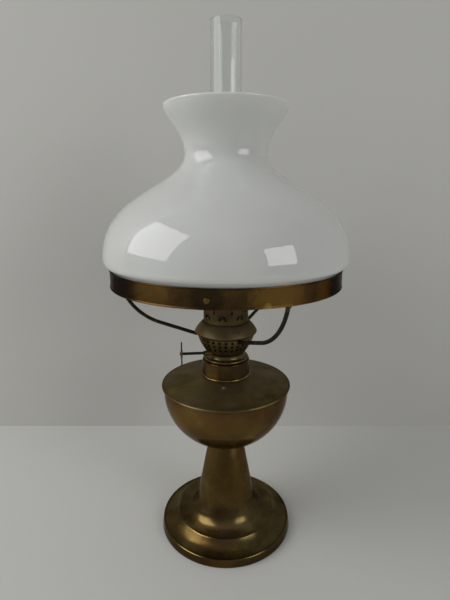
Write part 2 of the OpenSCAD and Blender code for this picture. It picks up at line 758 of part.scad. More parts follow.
module carrier_hub() {
    lip = [[hub_lip_r, basket_z], hub_belt - [0, hub_edge_h]];
    dome_top = [hub_hole_r, hub_z];
    dome_bend = (hub_belt + dome_top) / 2 + 2 * hub_bulge * side(hub_belt, dome_top);
    seat_in_r = hub_hole_r + 2 * past;
    color(brass) difference() {
        union() {
            sheet(concat(lip, bez2(hub_belt, dome_bend, dome_top)), hub_wall);
            revolve([[seat_in_r, basket_z], [hub_lip_r, basket_z],
                [hub_lip_r, basket_z + hub_wall], [seat_in_r, basket_z + hub_wall]]);
        }
        for (i = [0:2]) toward(arm_turn + third * i) arm_straight(wire_r + fit_gap);
        translate([0, 0, basket_z - past]) cylinder(r = hub_hole_r, h = hub_h + 2 * past);
        translate([0, 0, basket_z - 2 * past]) cylinder(r = hub_r, h = 2 * past);
    }
}

// Turns what is drawn along +X to a direction counted from the front
module toward(a) {
    rotate([0, 0, a - 90]) children();
}

// Puts what is drawn along +X where an arm's straight run ends and its bend starts
module at_bend() {
    translate([arm_bend[0], 0, arm_bend[1]]) rotate([0, -arm_slope, 0]) children();
}

module arm_straight(r) {
    at_bend() rotate([0, -90, 0]) cylinder(r = r, h = arm_run);
}

module arm(a) {
    color(wire_brown) toward(a) {
        arm_straight(wire_r);
        at_bend() translate([0, 0, arm_bend_r]) rotate([90, 90, 0])
            rotate_extrude(angle = arm_sweep) translate([arm_bend_r, 0]) circle(r = wire_r);
        translate([arm_end[0], 0, ring_z - arm_pad_h]) cylinder(d = arm_pad_d, h = arm_pad_h);
    }
}

module arm_right() { arm(arm_turn); }
module arm_left() { arm(arm_turn - third); }
module arm_rear() { arm(arm_turn + third); }

module shade_ring() {
    bead_r = ring_in_r + ring_bead;
    top_z = ring_z + ring_h;
    color(brass) difference() {
        revolve(concat([[ring_ledge_r, ring_z]],
            arc([bead_r, ring_z + ring_bead], ring_bead, -90, bead_turn, bead_n),
            [[ring_r, ring_z + 2.5 * ring_bead], [ring_r, top_z - 2.5 * ring_bead]],
            arc([bead_r, top_z - ring_bead], ring_bead, -bead_turn, 180, bead_n),
            [[ring_in_r, seat_z], [ring_ledge_r, seat_z]]));
        each_screw() translate([0, 0, ring_in_r - past])
            cylinder(d = screw_d + 2 * fit_gap, h = ring_wall + 2 * past);
    }
}

// Lays what is drawn up +Z outwards along each screw
module each_screw() {
    for (i = [0:2]) toward(screw_turn + third * i) translate([0, 0, ring_z + screw_h])
        rotate([0, 90, 0]) children();
}

module ring_screws() {
    tip = shade_foot_r + screw_gap;
    head_r = screw_head_d / 2;
    head_h = 0.6 * head_r;
    color(brass) each_screw() revolve(concat([[0, tip], [screw_d / 2, tip], [screw_d / 2, ring_r],
        [head_r, ring_r]], bez2([head_r, ring_r + head_h / 3], [head_r, ring_r + head_h],
        [0, ring_r + head_h])));
}

module shade() {
    step_top = [shade_foot_r, seat_z + shade_step];
    foot_curve = bez3(step_top, step_top + [0, step_pull], belly - [0, step_pull + past], belly);
    belly_curve = bez3(belly, belly + [0, belly_full], shade_waist - [0, neck_full], shade_waist);
    mouth_curve = bez3(shade_waist, shade_waist + [0, waist_pull], shade_rim - rim_pull, shade_rim);
    outside = concat([[shade_foot_r, seat_z]], foot_curve, tail(belly_curve), tail(mouth_curve));
    color("white") sheet(outside, shade_wall);
}

foot();
foot_weight();
base_felt();
tie_rod();
tie_washer();
tie_nut();
font_boss();
font_bowl();
font_top();
burner_collar();
burner_base();
burner_basket();
chimney_gallery();
wick_tube();
air_tube();
shaft_bracket();
shaft_bush();
wick_shaft();
sprockets();
wick_knob();
wick();
chimney();
carrier_hub();
arm_right();
arm_left();
arm_rear();
shade_ring();
ring_screws();
shade();
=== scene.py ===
import json
import math
from types import SimpleNamespace

import bmesh
import bpy
from bpy.props import FloatProperty, FloatVectorProperty, IntProperty, PointerProperty
from mathutils import Matrix, Vector
from mathutils.geometry import interpolate_bezier


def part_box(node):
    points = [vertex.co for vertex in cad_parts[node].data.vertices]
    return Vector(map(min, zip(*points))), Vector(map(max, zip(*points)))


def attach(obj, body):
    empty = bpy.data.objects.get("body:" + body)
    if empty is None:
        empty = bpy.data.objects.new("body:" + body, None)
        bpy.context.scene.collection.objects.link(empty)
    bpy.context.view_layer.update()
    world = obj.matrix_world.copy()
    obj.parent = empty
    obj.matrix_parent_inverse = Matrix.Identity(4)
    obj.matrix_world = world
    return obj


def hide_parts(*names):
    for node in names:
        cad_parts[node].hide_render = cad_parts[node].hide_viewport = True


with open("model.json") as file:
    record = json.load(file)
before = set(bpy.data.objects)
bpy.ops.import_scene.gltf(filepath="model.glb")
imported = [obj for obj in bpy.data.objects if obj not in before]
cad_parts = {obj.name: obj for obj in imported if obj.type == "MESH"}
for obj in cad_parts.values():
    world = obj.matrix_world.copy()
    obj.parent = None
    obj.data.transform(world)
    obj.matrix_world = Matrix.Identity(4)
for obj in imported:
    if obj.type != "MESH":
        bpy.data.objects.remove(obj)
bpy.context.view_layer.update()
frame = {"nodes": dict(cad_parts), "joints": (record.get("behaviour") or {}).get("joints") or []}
KNOB_JOINT = next(joint for joint in frame["joints"] if joint["name"] == "knob_turn")
SPINDLE = Vector(KNOB_JOINT["axis"]).normalized()

bl_info = {
    "name": "Kerosene table lamp",
    "version": (1, 0, 0),
    "blender": (4, 5, 0),
    "location": "View3D > Sidebar > Lamp",
    "description": "Dresses the working parts of a kerosene table lamp with its visible pieces",
    "category": "Object",
}

# Settings and meshes are in metres, outlines and the places of worn brass and painted light in millimetres
MM = 0.001
# Millimetres past the whole lamp, for bands, worn brass and painted light alike, that have no limit on a side
FAR = 1000
ANY = (0, FAR)
TURN = 2 * math.pi
# Steps round turned pieces from the broadest to the thinnest, and along a curve and a bead
BROAD_STEPS = 192
WIDE_STEPS = 144
SMALL_STEPS = 96
THIN_STEPS = 32
CURVE_STEPS = 24
BEAD_STEPS = 10
# Edges sharper than this are rounded, and shaded as edges
SHARP = math.radians(32)


def reach(node):
    """Radius of a round piece, from its working part."""
    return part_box(node)[1][0] / MM


def low(node):
    """Height of a working part's underside."""
    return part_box(node)[0][2] / MM


def high(node):
    """Height of a working part's top."""
    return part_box(node)[1][2] / MM


# Settings

def length(description, millimetres):
    """A size that a user may change."""
    return FloatProperty(description=description, default=millimetres * MM, min=0, unit="LENGTH", precision=4)


def angle(description, degrees):
    """A direction or slope that a user may change."""
    return FloatProperty(description=description, default=math.radians(degrees), subtype="ANGLE")


def count(description, number, least):
    """A number of like things that a user may change."""
    return IntProperty(description=description, default=number, min=least)


def tint(description, red, green, blue):
    """A colour that a user may change."""
    return FloatVectorProperty(description=description, default=(red, green, blue, 1), size=4, min=0, max=1,
                               subtype="COLOR")


def named(group):
    """Gives each setting of a group its name, from the attribute that holds it."""
    for key, setting in group.__annotations__.items():
        setting.keywords["name"] = key.replace("_", " ").capitalize()
    return group


def sizes(settings):
    """The values of a group of settings, with its lengths in millimetres."""
    values = {}
    for key in type(settings).__annotations__:
        value = getattr(settings, key)
        values[key] = value / MM if settings.bl_rna.properties[key].unit == "LENGTH" else value
    return SimpleNamespace(**values)


@named
class LAMP_PG_stand(bpy.types.PropertyGroup):
    """Sizes of the foot, stem and fuel font"""
    foot_radius: length("Radius of the foot at the table", reach("foot"))
    foot_lift: length("Gap between the foot's rim and the table", low("foot"))
    rim_height: length("Height of the foot's upright rim", 8.3)
    rim_draft: length("How far the rim leans in towards its top", 1.2)
    rim_bead: length("Radius of the bead along the rim", 0.9)
    ridge_radius: length("Radius of the ridge between the foot's cove and flare", 56)
    cove_height: length("Rise of the ridge above the rim", 9.9)
    cove_reach: length("How far the cove's bend lies outside the ridge", 7)
    cove_lift: length("Rise of the cove where it leaves the rim", 0.9)
    flare_height: length("Height of the flare between the ridge and the stem", 19.8)
    flare_dip: length("Depth of the flare's bend below the ridge", 4.2)
    stem_base_radius: length("Radius of the stem where the flare ends", 33)
    stem_top_radius: length("Radius of the stem under the font", 19.4)
    stem_top: length("Height of the stem's top", high("foot"))
    sheet_wall: length("Thickness of the spun sheet", 0.85)
    bowl_radius: length("Radius of the font's bowl", 69.3)
    bowl_depth: length("Depth of the bowl's round below its band", 65)
    bowl_overhang: length("Width of the bowl's flat past the stem", 0.8)
    bowl_band: length("Height of the bowl's straight band", 7.8)
    seam: length("Height of the seam between bowl and lid", high("font_bowl"))
    lip_radius: length("Radius of the rolled seam", reach("font_top"))
    hem_radius: length("Radius of the rolled edge", 1.5)
    lip_height: length("Rise of the seam's top over the bowl", 1.1)
    lid_top: length("Height of the lid at the collar", high("font_top"))
    lid_hole_radius: length("Radius of the hole in the lid", 24)


@named
class LAMP_PG_burner(bpy.types.PropertyGroup):
    """Sizes of the collar, burner and wick raiser"""
    collar_radius: length("Radius of the collar's wall", 26)
    collar_top: length("Height of the collar's top", high("burner_collar"))
    collar_low: length("Height of the collar's lower end in the font", low("burner_collar"))
    collar_bore: length("Radius of the collar's bore", 22.7)
    collar_bead: length("Radius of the bead at the collar's foot", 1.3)
    collar_round: length("Rounding of the collar's top edge", 1.4)
    thread_pitch: length("Pitch of the collar's thread", 1.8)
    thread_depth: length("Depth of the collar's thread", 0.45)
    base_low: length("Height of the lower end of the burner's skirt", low("burner_base"))
    skirt_radius: length("Radius of the burner's threaded skirt", 22.4)
    skirt_wall: length("Thickness of the skirt", 1.2)
    base_radius: length("Radius of the bead round the burner's base", 24.8)
    base_bead: length("Radius of that bead's round", 1.5)
    base_wall: length("Thickness of the base", 0.8)
    neck_radius: length("Radius of the burner's neck", 20.3)
    neck_top: length("Height where the basket meets the neck", low("burner_basket"))
    basket_radius: length("Radius of the basket's top", reach("burner_basket"))
    basket_top: length("Height of the basket's top", high("burner_basket"))
    basket_wall: length("Sheet thickness of the basket", 0.6)
    basket_rim: length("Inner radius of the flat rim on the basket", 19)
    air_hole: length("Radius of the basket's air holes", 1.7)
    air_row: length("Height from one row of air holes to the next", 4.8)
    air_drop: length("Depth of the first row of holes below the basket's top", 2.4)
    air_holes: count("Holes in each row", 28, 12)
    air_rows: count("Rows of holes", 3, 1)
    tube_radius: length("Outer radius of the wick tube", 11.6)
    wick_radius: length("Outer radius of the wick", reach("wick"))
    wick_thickness: length("Thickness of the wick", 2)
    wick_slot: length("Width of the slot between the wick's edges", 5.6)
    wick_slot_top: length("Height where the wick closes to a ring", 241.767)
    shaft_radius: length("Radius of the wick raiser's spindle", 1.5)
    knob_radius: length("Radius of the turning disc", 12.5)
    knob_thickness: length("Thickness of the turning disc at its boss", 2.2)
    knob_place: length("Distance of the disc from the lamp's axis along the spindle", 49)
    knob_grooves: count("Grooves round the disc's edge", 48, 12)


@named
class LAMP_PG_carrier(bpy.types.PropertyGroup):
    """Sizes of the shade's carrier"""
    hub_radius: length("Radius of the hub's widest line", 33.8)
    hub_lip: length("Radius of the hub's lower edge", 31.3)
    hub_hole: length("Radius of the hub's hole round the gallery", 24.9)
    hub_low: length("Height of the hub's seat on the basket", low("carrier_hub"))
    hub_top: length("Height of the hub's top", high("carrier_hub"))
    hub_belt: length("Height of the widest line above the seat", 3.8)
    hub_edge: length("Height of the upright edge under that line", 1)
    hub_bulge: length("Bulge of the dome past a straight cone", 0.7)
    hub_wall: length("Sheet thickness of the hub", 0.8)
    wire_radius: length("Radius of the arms' wire", 2)
    arm_slope: angle("Rise of the arms at the hub", 17)
    arm_bend: length("Bend radius of the arms", 61)
    arm_drop: length("Depth of the wire's axis below the hub's seat", 1.5)
    arm_turn: angle("Direction of the first arm from the front", 27)
    arm_pad: length("Radius of the pad that ends each arm", 2.8)
    arm_pad_height: length("Height of that pad", 2.2)
    ring_low: length("Height of the ring's underside", low("shade_ring"))
    ring_top: length("Height of the ring's upper edge", high("shade_ring"))
    ring_inner: length("Inner radius of the ring's band", 118.7)
    ring_wall: length("Sheet thickness of the ring", 0.7)
    ring_bead: length("Radius of the ring's beads", 0.65)
    ring_ledge: length("Inner radius of the ledge under the shade", 111.5)
    screw_height: length("Height of the screws in the band", 7.7)
    screw_turn: angle("Direction of the first screw from the front", -7.6)
    screw_radius: length("Radius of the screws' heads", 2.6)


@named
class LAMP_PG_glass(bpy.types.PropertyGroup):
    """Sizes of the chimney and the shade"""
    chimney_low: length("Height of the chimney's lower end", low("chimney"))
    chimney_top: length("Height of the chimney's top", high("chimney"))
    chimney_radius: length("Radius of the chimney's foot", reach("chimney"))
    chimney_foot: length("Height of the chimney's straight foot", 30)
    shoulder: length("Height of the chimney's shoulder", 16)
    flue_radius: length("Radius of the chimney's flue", 15)
    chimney_wall: length("Wall of the chimney", 1.7)
    shade_low: length("Height of the shade's lower end on the ring", low("shade"))
    shade_top: length("Height of the shade's mouth", high("shade"))
    shade_foot: length("Radius of the shade's foot", 117.2)
    shade_step: length("Height of the straight foot", 13.5)
    step_pull: length("Pull of the curve over the foot", 7)
    belly_radius: length("Radius of the shade's belly", reach("shade"))
    belly_height: length("Height of the widest line above the foot", 27)
    belly_full: length("Upward pull of the belly", 66)
    neck_radius: length("Radius of the shade's neck", 41.1)
    neck_height: length("Height of the neck above the foot", 128.5)
    neck_full: length("Downward pull of the neck", 32)
    neck_rise: length("Upward pull of the neck", 19)
    mouth_radius: length("Radius of the shade's mouth", 61.5)
    mouth_pull: length("Height of the curve below the mouth", 12)
    mouth_lean: length("Width of the curve below the mouth", 1.5)
    shade_wall: length("Wall of the shade", 3)


@named
class LAMP_PG_finish(bpy.types.PropertyGroup):
    """Colours of the materials"""
    # Bright is also laid on in bands as painted highlights and painted light, besides the rubbed patches
    bright: tint("Brass where hands and cloths keep it bright", 0.58, 0.39, 0.11)
    # Golden is also laid on as painted highlights and painted reflections
    golden: tint("Brass with a warm golden tone", 0.21, 0.115, 0.026)
    brown: tint("Brass gone brown", 0.118, 0.072, 0.024)
    olive: tint("Brass with an olive tarnish", 0.105, 0.08, 0.03)
    # Honey is laid on as painted light, paling the front of the foot's flare and the bowl's underside
    honey: tint("Brass with a honey tone", 0.18, 0.12, 0.042)
    dull: tint("Brass dulled to a greyish brown", 0.16, 0.122, 0.07)
    russet: tint("Brass gone reddish brown", 0.085, 0.046, 0.02)
    # Umber is also laid on as painted shade on the hub
    umber: tint("Brass gone deep brown", 0.058, 0.035, 0.012)
    # Dark is also laid on as painted shade and painted dark reflections, besides the patina's dark stains and
    # specks
    dark: tint("Brass darkened in creases and by heat", 0.026, 0.018, 0.01)
    edge: tint("Brass seen along its surface", 0.66, 0.62, 0.56)
    dim_edge: tint("Dark brass seen along its surface", 0.3, 0.27, 0.23)
    # Purple is also laid on strongly at the front of the foot's flare, as painted light there
    purple: tint("Purple heat colour on the brass", 0.135, 0.078, 0.06)
    verdigris: tint("Green bloom on the brass", 0.23, 0.33, 0.24)
    wire: tint("Dark patina of the arms and spindle", 0.028, 0.022, 0.017)
    steel: tint("Steel of the hidden fixings", 0.50, 0.50, 0.50)
    iron: tint("Iron of the foot's weight", 0.085, 0.083, 0.08)
    felt: tint("Wool felt under the foot", 0.055, 0.10, 0.05)
    cotton: tint("Unburnt wick", 0.72, 0.64, 0.48)
    oiled: tint("Wick yellowed by oil", 0.50, 0.36, 0.17)
    char: tint("Burnt end of the wick", 0.02, 0.018, 0.016)
    opal: tint("White glass of the shade", 0.68, 0.69, 0.672)
    clear: tint("Glass of the chimney", 0.97, 0.985, 0.975)
    smeared: tint("Glass of the chimney where it is smeared", 0.95, 0.97, 0.96)
    # Soot, made dark enough that it also paints the shade inside the gallery's openings
    soot: tint("Soot inside the chimney's foot", 0.09, 0.08, 0.07)
    speck: tint("Pale speck on the font's lid", 0.75, 0.8, 0.75)


@named
class LAMP_PG_stage(bpy.types.PropertyGroup):
    """Floor, light and camera"""
    floor: tint("Colour of the floor", 0.63, 0.63, 0.605)
    wall: tint("Colour of the backdrop", 0.58, 0.575, 0.55)
    room: tint("Colour of the room's faint light", 0.25, 0.25, 0.245)
    wall_place: length("Distance of the backdrop behind the lamp's axis", 215)
    camera_back: length("Distance of the camera from the lamp's axis", 458.2)
    camera_height: length("Height of the camera", 388.6)
    camera_down: angle("Downward tilt of the camera", 13.96)
    camera_lens: FloatProperty(description="Focal length of the camera", default=26.26, unit="CAMERA")


SETTINGS = {"lamp_stand": LAMP_PG_stand, "lamp_burner": LAMP_PG_burner, "lamp_carrier": LAMP_PG_carrier,
            "lamp_glass": LAMP_PG_glass, "lamp_finish": LAMP_PG_finish, "lamp_stage": LAMP_PG_stage}


# Outlines, as lists of (radius, height) in millimetres

def curve(a, b, c, d=None, steps=CURVE_STEPS):
    """A smooth run from the first point to the last, drawn by the points between."""
    a, b, c = Vector(a), Vector(b), Vector(c)
    if d is None:
        b, c, d = a + (b - a) * 2 / 3, c + (b - c) * 2 / 3, c
    return interpolate_bezier(a, b, c, Vector(d), steps + 1)


def bead(middle, radius, start, end, steps=BEAD_STEPS):
    """An arc round a middle, from one angle to another in degrees."""
    turns = [math.radians(start + (end - start) * i / steps) for i in range(steps + 1)]
    return [Vector(middle) + radius * Vector((math.cos(t), math.sin(t))) for t in turns]


def sheet_outline(outline, wall):
    """Outline of a thin sheet: the given face, then its other face run backwards."""
    points = [Vector(p) for p in outline]
    runs = [(q - p).normalized() for p, q in zip(points, points[1:])]
    sides = [Vector((-run.y, run.x)) for run in runs]
    inside = []
    for point, before, after in zip(points, sides[:1] + sides, sides + sides[-1:]):
        middle = before + after
        inside.append(point + middle * (2 * wall / middle.dot(middle)))
    return list(outline) + inside[::-1]


def thread(radius, start, end, pitch, depth):
    """Rings of a thread along a wall, depth counted outwards."""
    turns = max(1, round(abs(end - start) / pitch))
    step = (end - start) / turns
    points = [(radius, start)]
    for i in range(turns):
        points += [(radius + depth, start + step * (i + 0.5)), (radius, start + step * (i + 1))]
    return points


def lid_height(s, radius):
    """Height of the font's sloping lid at a radius."""
    lip, hem = s.seam + s.lip_height, s.lip_radius - s.hem_radius
    return lip + (s.lid_top - lip) * (hem - radius) / (hem - s.lid_hole_radius)


# Meshes

def drawn(bm, outline):
    """The corners of an outline, upright along the X axis."""
    return [bm.verts.new((x * MM, 0, z * MM)) for x, z in outline]


def turned(outline, steps=WIDE_STEPS):
    """A bmesh of a closed outline turned once about the lamp's axis."""
    bm = bmesh.new()
    corners = drawn(bm, outline)
    edges = [bm.edges.new(pair) for pair in zip(corners, corners[1:] + corners[:1])]
    bmesh.ops.spin(bm, geom=corners + edges, cent=(0, 0, 0), axis=(0, 0, 1), dvec=(0, 0, 0), angle=TURN,
                   steps=steps, use_merge=True, use_duplicate=False)
    tidy(bm)
    return bm


def tidy(bm, gap=2e-6):
    """Closes the seams and turns the faces outwards."""
    bmesh.ops.remove_doubles(bm, verts=bm.verts, dist=gap)
    bmesh.ops.dissolve_degenerate(bm, edges=bm.edges, dist=gap / 2)
    bmesh.ops.recalc_face_normals(bm, faces=bm.faces)


def soften(bm, width, segments=2):
    """Rounds the sharp edges, by a width in millimetres, so that they catch the light."""
    sharp = [e for e in bm.edges if len(e.link_faces) == 2 and e.calc_face_angle(0) > SHARP]
    bmesh.ops.bevel(bm, geom=sharp, offset=width * MM, offset_type="OFFSET", segments=segments, profile=0.5,
                    affect="EDGES", clamp_overlap=True, material=-1)


def only_points(geometry):
    """The vertices among what a bmesh operator made."""
    return [g for g in geometry if isinstance(g, bmesh.types.BMVert)]


def add_to(bm, other):
    """Joins another bmesh to this one."""
    held = bpy.data.meshes.new("held")
    other.to_mesh(held)
    other.free()
    bm.from_mesh(held)
    bpy.data.meshes.remove(held)


def place(bm, matrix):
    """Moves a whole bmesh."""
    bmesh.ops.transform(bm, matrix=matrix, verts=bm.verts)


def link(name, bm, finish):
    """Makes a bmesh an object of the scene."""
    mesh = bpy.data.meshes.new(name)
    bm.to_mesh(mesh)
    bm.free()
    mesh.materials.append(finish)
    made = bpy.data.objects.new(name, mesh)
    bpy.context.scene.collection.objects.link(made)
    return made


def settle(name, bm, finish, body, slot, *nodes):
    """Makes a bmesh a finished piece of the lamp that rides on a body and stands for its nodes."""
    piece = link(name, bm, finish)
    piece.data.shade_smooth()
    piece.data.set_sharp_from_angle(angle=SHARP)
    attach(piece, body)
    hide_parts(*nodes)
    return piece


def shaft_matrix(along):
    """Lays what is drawn up the axis along the wick raiser's spindle, from a place on it in millimetres."""
    place_on_it = Vector(KNOB_JOINT["pos_m"]) + SPINDLE * along * MM
    return Matrix.Translation(place_on_it) @ SPINDLE.to_track_quat("Z", "Y").to_matrix().to_4x4()


# Shader trees

class Tree:
    """Short hand for adding the nodes of one shader tree and joining them."""

    def __init__(self, tree):
        self.tree = tree
        tree.nodes.clear()

    def add(self, kind, inputs=None, **settings):
        node = self.tree.nodes.new(kind)
        for key, value in settings.items():
            setattr(node, key, value)
        for key, value in (inputs or {}).items():
            if isinstance(value, bpy.types.NodeSocket):
                self.tree.links.new(value, node.inputs[key])
            else:
                node.inputs[key].default_value = value
        return node

    def math(self, operation, a, b=0.0):
        return self.add("ShaderNodeMath", {0: a, 1: b}, operation=operation).outputs[0]

    def ramp(self, value, start, end, first=0.0, last=1.0):
        """A smooth step from one value to another."""
        limits = {"Value": value, "From Min": start, "From Max": end, "To Min": first, "To Max": last}
        return self.add("ShaderNodeMapRange", limits, interpolation_type="SMOOTHSTEP").outputs[0]

    def mix(self, factor, a, b):
        return self.add("ShaderNodeMix", {0: factor, 6: a, 7: b}, data_type="RGBA").outputs[2]

    def noise(self, vector, scale, detail=3.0, roughness=0.55):
        return self.add("ShaderNodeTexNoise", {"Vector": vector, "Scale": scale, "Detail": detail,
                                               "Roughness": roughness}).outputs["Fac"]

    def coordinates(self):
        return self.add("ShaderNodeTexCoord").outputs["Object"]

    def axes(self, vector):
        """Radius from the lamp's axis, height and direction of a point."""
        split = self.add("ShaderNodeSeparateXYZ", {0: vector}).outputs
        flat = self.add("ShaderNodeCombineXYZ", {"X": split["X"], "Y": split["Y"]}).outputs[0]
        radius = self.add("ShaderNodeVectorMath", {0: flat}, operation="LENGTH").outputs["Value"]
        return radius, split["Z"], self.math("ARCTAN2", split["Y"], split["X"])

    def bump(self, height, strength, distance=0.0004):
        return self.add("ShaderNodeBump", {"Height": height, "Strength": strength,
                                           "Distance": distance}).outputs[0]


def group(name, inputs, outputs, wire):
    """A shader node group, made once, with named sockets of each kind."""
    if name not in bpy.data.node_groups:
        made = bpy.data.node_groups.new(name, "ShaderNodeTree")
        for side, sockets in (("INPUT", inputs), ("OUTPUT", outputs)):
            for kind, keys in sockets.items():
                for key in keys:
                    made.interface.new_socket(name=key, in_out=side, socket_type="NodeSocket" + kind)
        t = Tree(made)
        t.add("NodeGroupOutput", wire(t, t.coordinates(), t.add("NodeGroupInput").outputs))
    return bpy.data.node_groups[name]


def patina():
    """Old brass: clouds of two tones, rubbed bright patches, specks and fine lathe lines."""
    def wire(t, spot, given):
        radius, height, _ = t.axes(spot)
        clouds = t.noise(spot, 17, 4, 0.6)
        stains = t.noise(spot, 62, 5, 0.62)
        specks = t.noise(spot, 480)
        along = t.math("MULTIPLY", t.math("ADD", radius, height), 1700)
        lines = t.add("ShaderNodeTexNoise", {"W": along, "Detail": 2}, noise_dimensions="1D").outputs["Fac"]
        tone = t.mix(t.ramp(clouds, 0.36, 0.64), given["First"], given["Second"])
        rubbed = t.math("MULTIPLY", t.ramp(stains, 0.5, 0.78), given["Rubbed"])
        tone = t.mix(rubbed, tone, given["Bright"])
        tone = t.mix(t.math("MULTIPLY", t.ramp(stains, 0.44, 0.28), 0.5), tone, given["Dark"])
        tone = t.mix(t.math("MULTIPLY", t.ramp(specks, 0.6, 0.78), 0.45), tone, given["Dark"])
        rough = t.math("ADD", t.ramp(stains, 0.3, 0.72, given["Rough"], given["Smooth"]),
                       t.math("MULTIPLY", t.math("SUBTRACT", lines, 0.5), 0.06))
        bumps = t.math("ADD", t.math("MULTIPLY", lines, 0.5), t.math("MULTIPLY", specks, 0.5))
        return {"Color": tone, "Roughness": rough, "Height": bumps}
    return group("Brass patina",
                 {"Color": ("First", "Second", "Bright", "Dark"), "Float": ("Rubbed", "Smooth", "Rough")},
                 {"Color": ("Color",), "Float": ("Roughness", "Height")}, wire)


def wear_and_light_band():
    """Mask of a band, for worn brass and for painted light alike, between two radii and two heights, broken
    up along its length.
    """
    def wire(t, spot, given):
        radius, height, turn = t.axes(spot)
        edge = given["Edge"]
        mask = 1.0
        for value, first, last in ((radius, "Inner", "Outer"), (height, "Low", "High")):
            start, end = given[first], given[last]
            rise = t.ramp(value, t.math("SUBTRACT", start, edge), t.math("ADD", start, edge))
            fall = t.ramp(value, t.math("SUBTRACT", end, edge), t.math("ADD", end, edge), 1, 0)
            mask = t.math("MULTIPLY", t.math("MULTIPLY", rise, fall), mask)
        breaks = t.ramp(t.noise(spot, given["Break"], 4), 0.34, 0.6)
        facing = t.math("COSINE", t.math("SUBTRACT", turn, given["Toward"]))
        facing = t.ramp(facing, given["Limit"], t.math("ADD", given["Limit"], 0.04))
        return {"Mask": t.math("MULTIPLY", t.math("MULTIPLY", mask, breaks), facing)}
    limits = ("Inner", "Outer", "Low", "High", "Edge", "Break", "Toward", "Limit")
    return group("Band of wear and painted light", {"Float": limits}, {"Float": ("Mask",)}, wire)


def small_spot():
    """Mask of one spot with a ragged edge."""
    def wire(t, spot, given):
        ends = {0: spot, 1: given["Place"]}
        away = t.add("ShaderNodeVectorMath", ends, operation="DISTANCE").outputs["Value"]
        rag = t.math("MULTIPLY", t.math("SUBTRACT", t.noise(spot, 260, 4), 0.5), given["Reach"])
        share = t.math("DIVIDE", t.math("ADD", away, rag), given["Reach"])
        return {"Mask": t.ramp(share, 0.55, 1.05, 1, 0)}
    return group("Small spot", {"Vector": ("Place",), "Float": ("Reach",)}, {"Float": ("Mask",)}, wire)


def material(name, wire, one_sided=False):
    """A material, made once, whose shader takes what a function wires up for it."""
    if name not in bpy.data.materials:
        made = bpy.data.materials.new(name)
        made.use_nodes = True
        t = Tree(made.node_tree)
        inputs = wire(t, t.coordinates(), bpy.context.scene.lamp_finish)
        surface = t.add("ShaderNodeBsdfPrincipled", inputs).outputs[0]
        if one_sided:
            behind = t.add("ShaderNodeNewGeometry").outputs["Backfacing"]
            clear = t.add("ShaderNodeBsdfTransparent").outputs[0]
            surface = t.add("ShaderNodeMixShader", {0: behind, 1: surface, 2: clear}).outputs[0]
        t.add("ShaderNodeOutputMaterial", {"Surface": surface})
    return bpy.data.materials[name]


def shaded(colour, share):
    """A colour made darker or paler."""
    return (*(min(1, share * x) for x in colour[:3]), 1)


def brass(name, first, second, rubbed, smooth, rough, bands=(), spots=(), glance="edge"):
    """Brass with patina: two tones, how rubbed it is, its gloss, and bands and spots of other colours, some
    of them the brass's own stains, tints and worn places, and others painted highlights, painted reflections
    and painted shade.

    A band is (colour, strength, inner radius, outer radius, low, high, edge, break) and may end with its
    direction and half width in degrees from the front. A spot is (colour, strength, place, reach).
    """
    def wire(t, spot, c):
        tones = {"First": getattr(c, first), "Second": getattr(c, second), "Bright": c.bright, "Dark": c.dark,
                 "Rubbed": rubbed, "Smooth": smooth, "Rough": rough}
        base = t.add("ShaderNodeGroup", tones, node_tree=patina()).outputs
        wear_and_painted_light = []
        for hue, strength, inner, outer, bottom, top, edge, breaks, *facing in bands:
            limits = {"Inner": inner * MM, "Outer": outer * MM, "Low": bottom * MM, "High": top * MM,
                      "Edge": edge * MM, "Break": breaks, "Toward": 0, "Limit": -2}
            if facing:
                limits["Toward"] = math.radians(facing[0] - 90)
                limits["Limit"] = math.cos(math.radians(facing[1]))
            wear_and_painted_light.append((hue, strength, wear_and_light_band(), limits))
        for hue, strength, where, size in spots:
            wear_and_painted_light.append((hue, strength, small_spot(), {"Place": Vector(where) * MM, "Reach": size * MM}))
        colour = base["Color"]
        for hue, strength, kind, limits in wear_and_painted_light:
            mask = t.add("ShaderNodeGroup", limits, node_tree=kind).outputs["Mask"]
            colour = t.mix(t.math("MULTIPLY", mask, strength), colour, getattr(c, hue))
        return {"Base Color": colour, "Metallic": 0.85, "Specular IOR Level": 0.2,
                "Specular Tint": getattr(c, glance), "Roughness": base["Roughness"],
                "Normal": t.bump(base["Height"], 0.12, 0.0002)}
    return material(name, wire)


def dark_wire():
    """Blackish brown patina of the arms and the spindle."""
    def wire(t, spot, c):
        stains = t.noise(spot, 130, 4)
        return {"Base Color": t.mix(t.ramp(stains, 0.5, 0.8), c.wire, c.brown), "Metallic": 0.85,
                "Roughness": t.ramp(stains, 0.3, 0.7, 0.5, 0.32),
                "Normal": t.bump(t.noise(spot, 900, 2), 0.25, 0.0003)}
    return material("Dark wire", wire)


def rough_metal(name, colour, roughness, scale, strength):
    """Steel and iron of the hidden pieces."""
    def wire(t, spot, c):
        grain = t.noise(spot, scale, 4, 0.65)
        return {"Base Color": t.mix(t.ramp(grain, 0.45, 0.75), getattr(c, colour), c.dark), "Metallic": 1.0,
                "Roughness": t.ramp(grain, 0.3, 0.7, roughness, roughness + 0.2),
                "Normal": t.bump(grain, strength)}
    return material(name, wire)


def opal_glass():
    """Glossy white glass, a little cloudy in its depth."""
    def wire(t, spot, c):
        cloud = t.ramp(t.noise(spot, 9), 0.35, 0.68)
        return {"Base Color": t.mix(cloud, c.opal, shaded(c.opal, 0.955)), "IOR": 1.6,
                "Roughness": t.ramp(t.noise(spot, 40, 4), 0.35, 0.7, 0.035, 0.07), "Subsurface Weight": 1.0,
                "Subsurface Radius": (1.0, 1.0, 0.95), "Subsurface Scale": 0.003,
                "Normal": t.bump(t.noise(spot, 22, 1), 0.03, 0.002)}
    return material("Opal glass", wire)


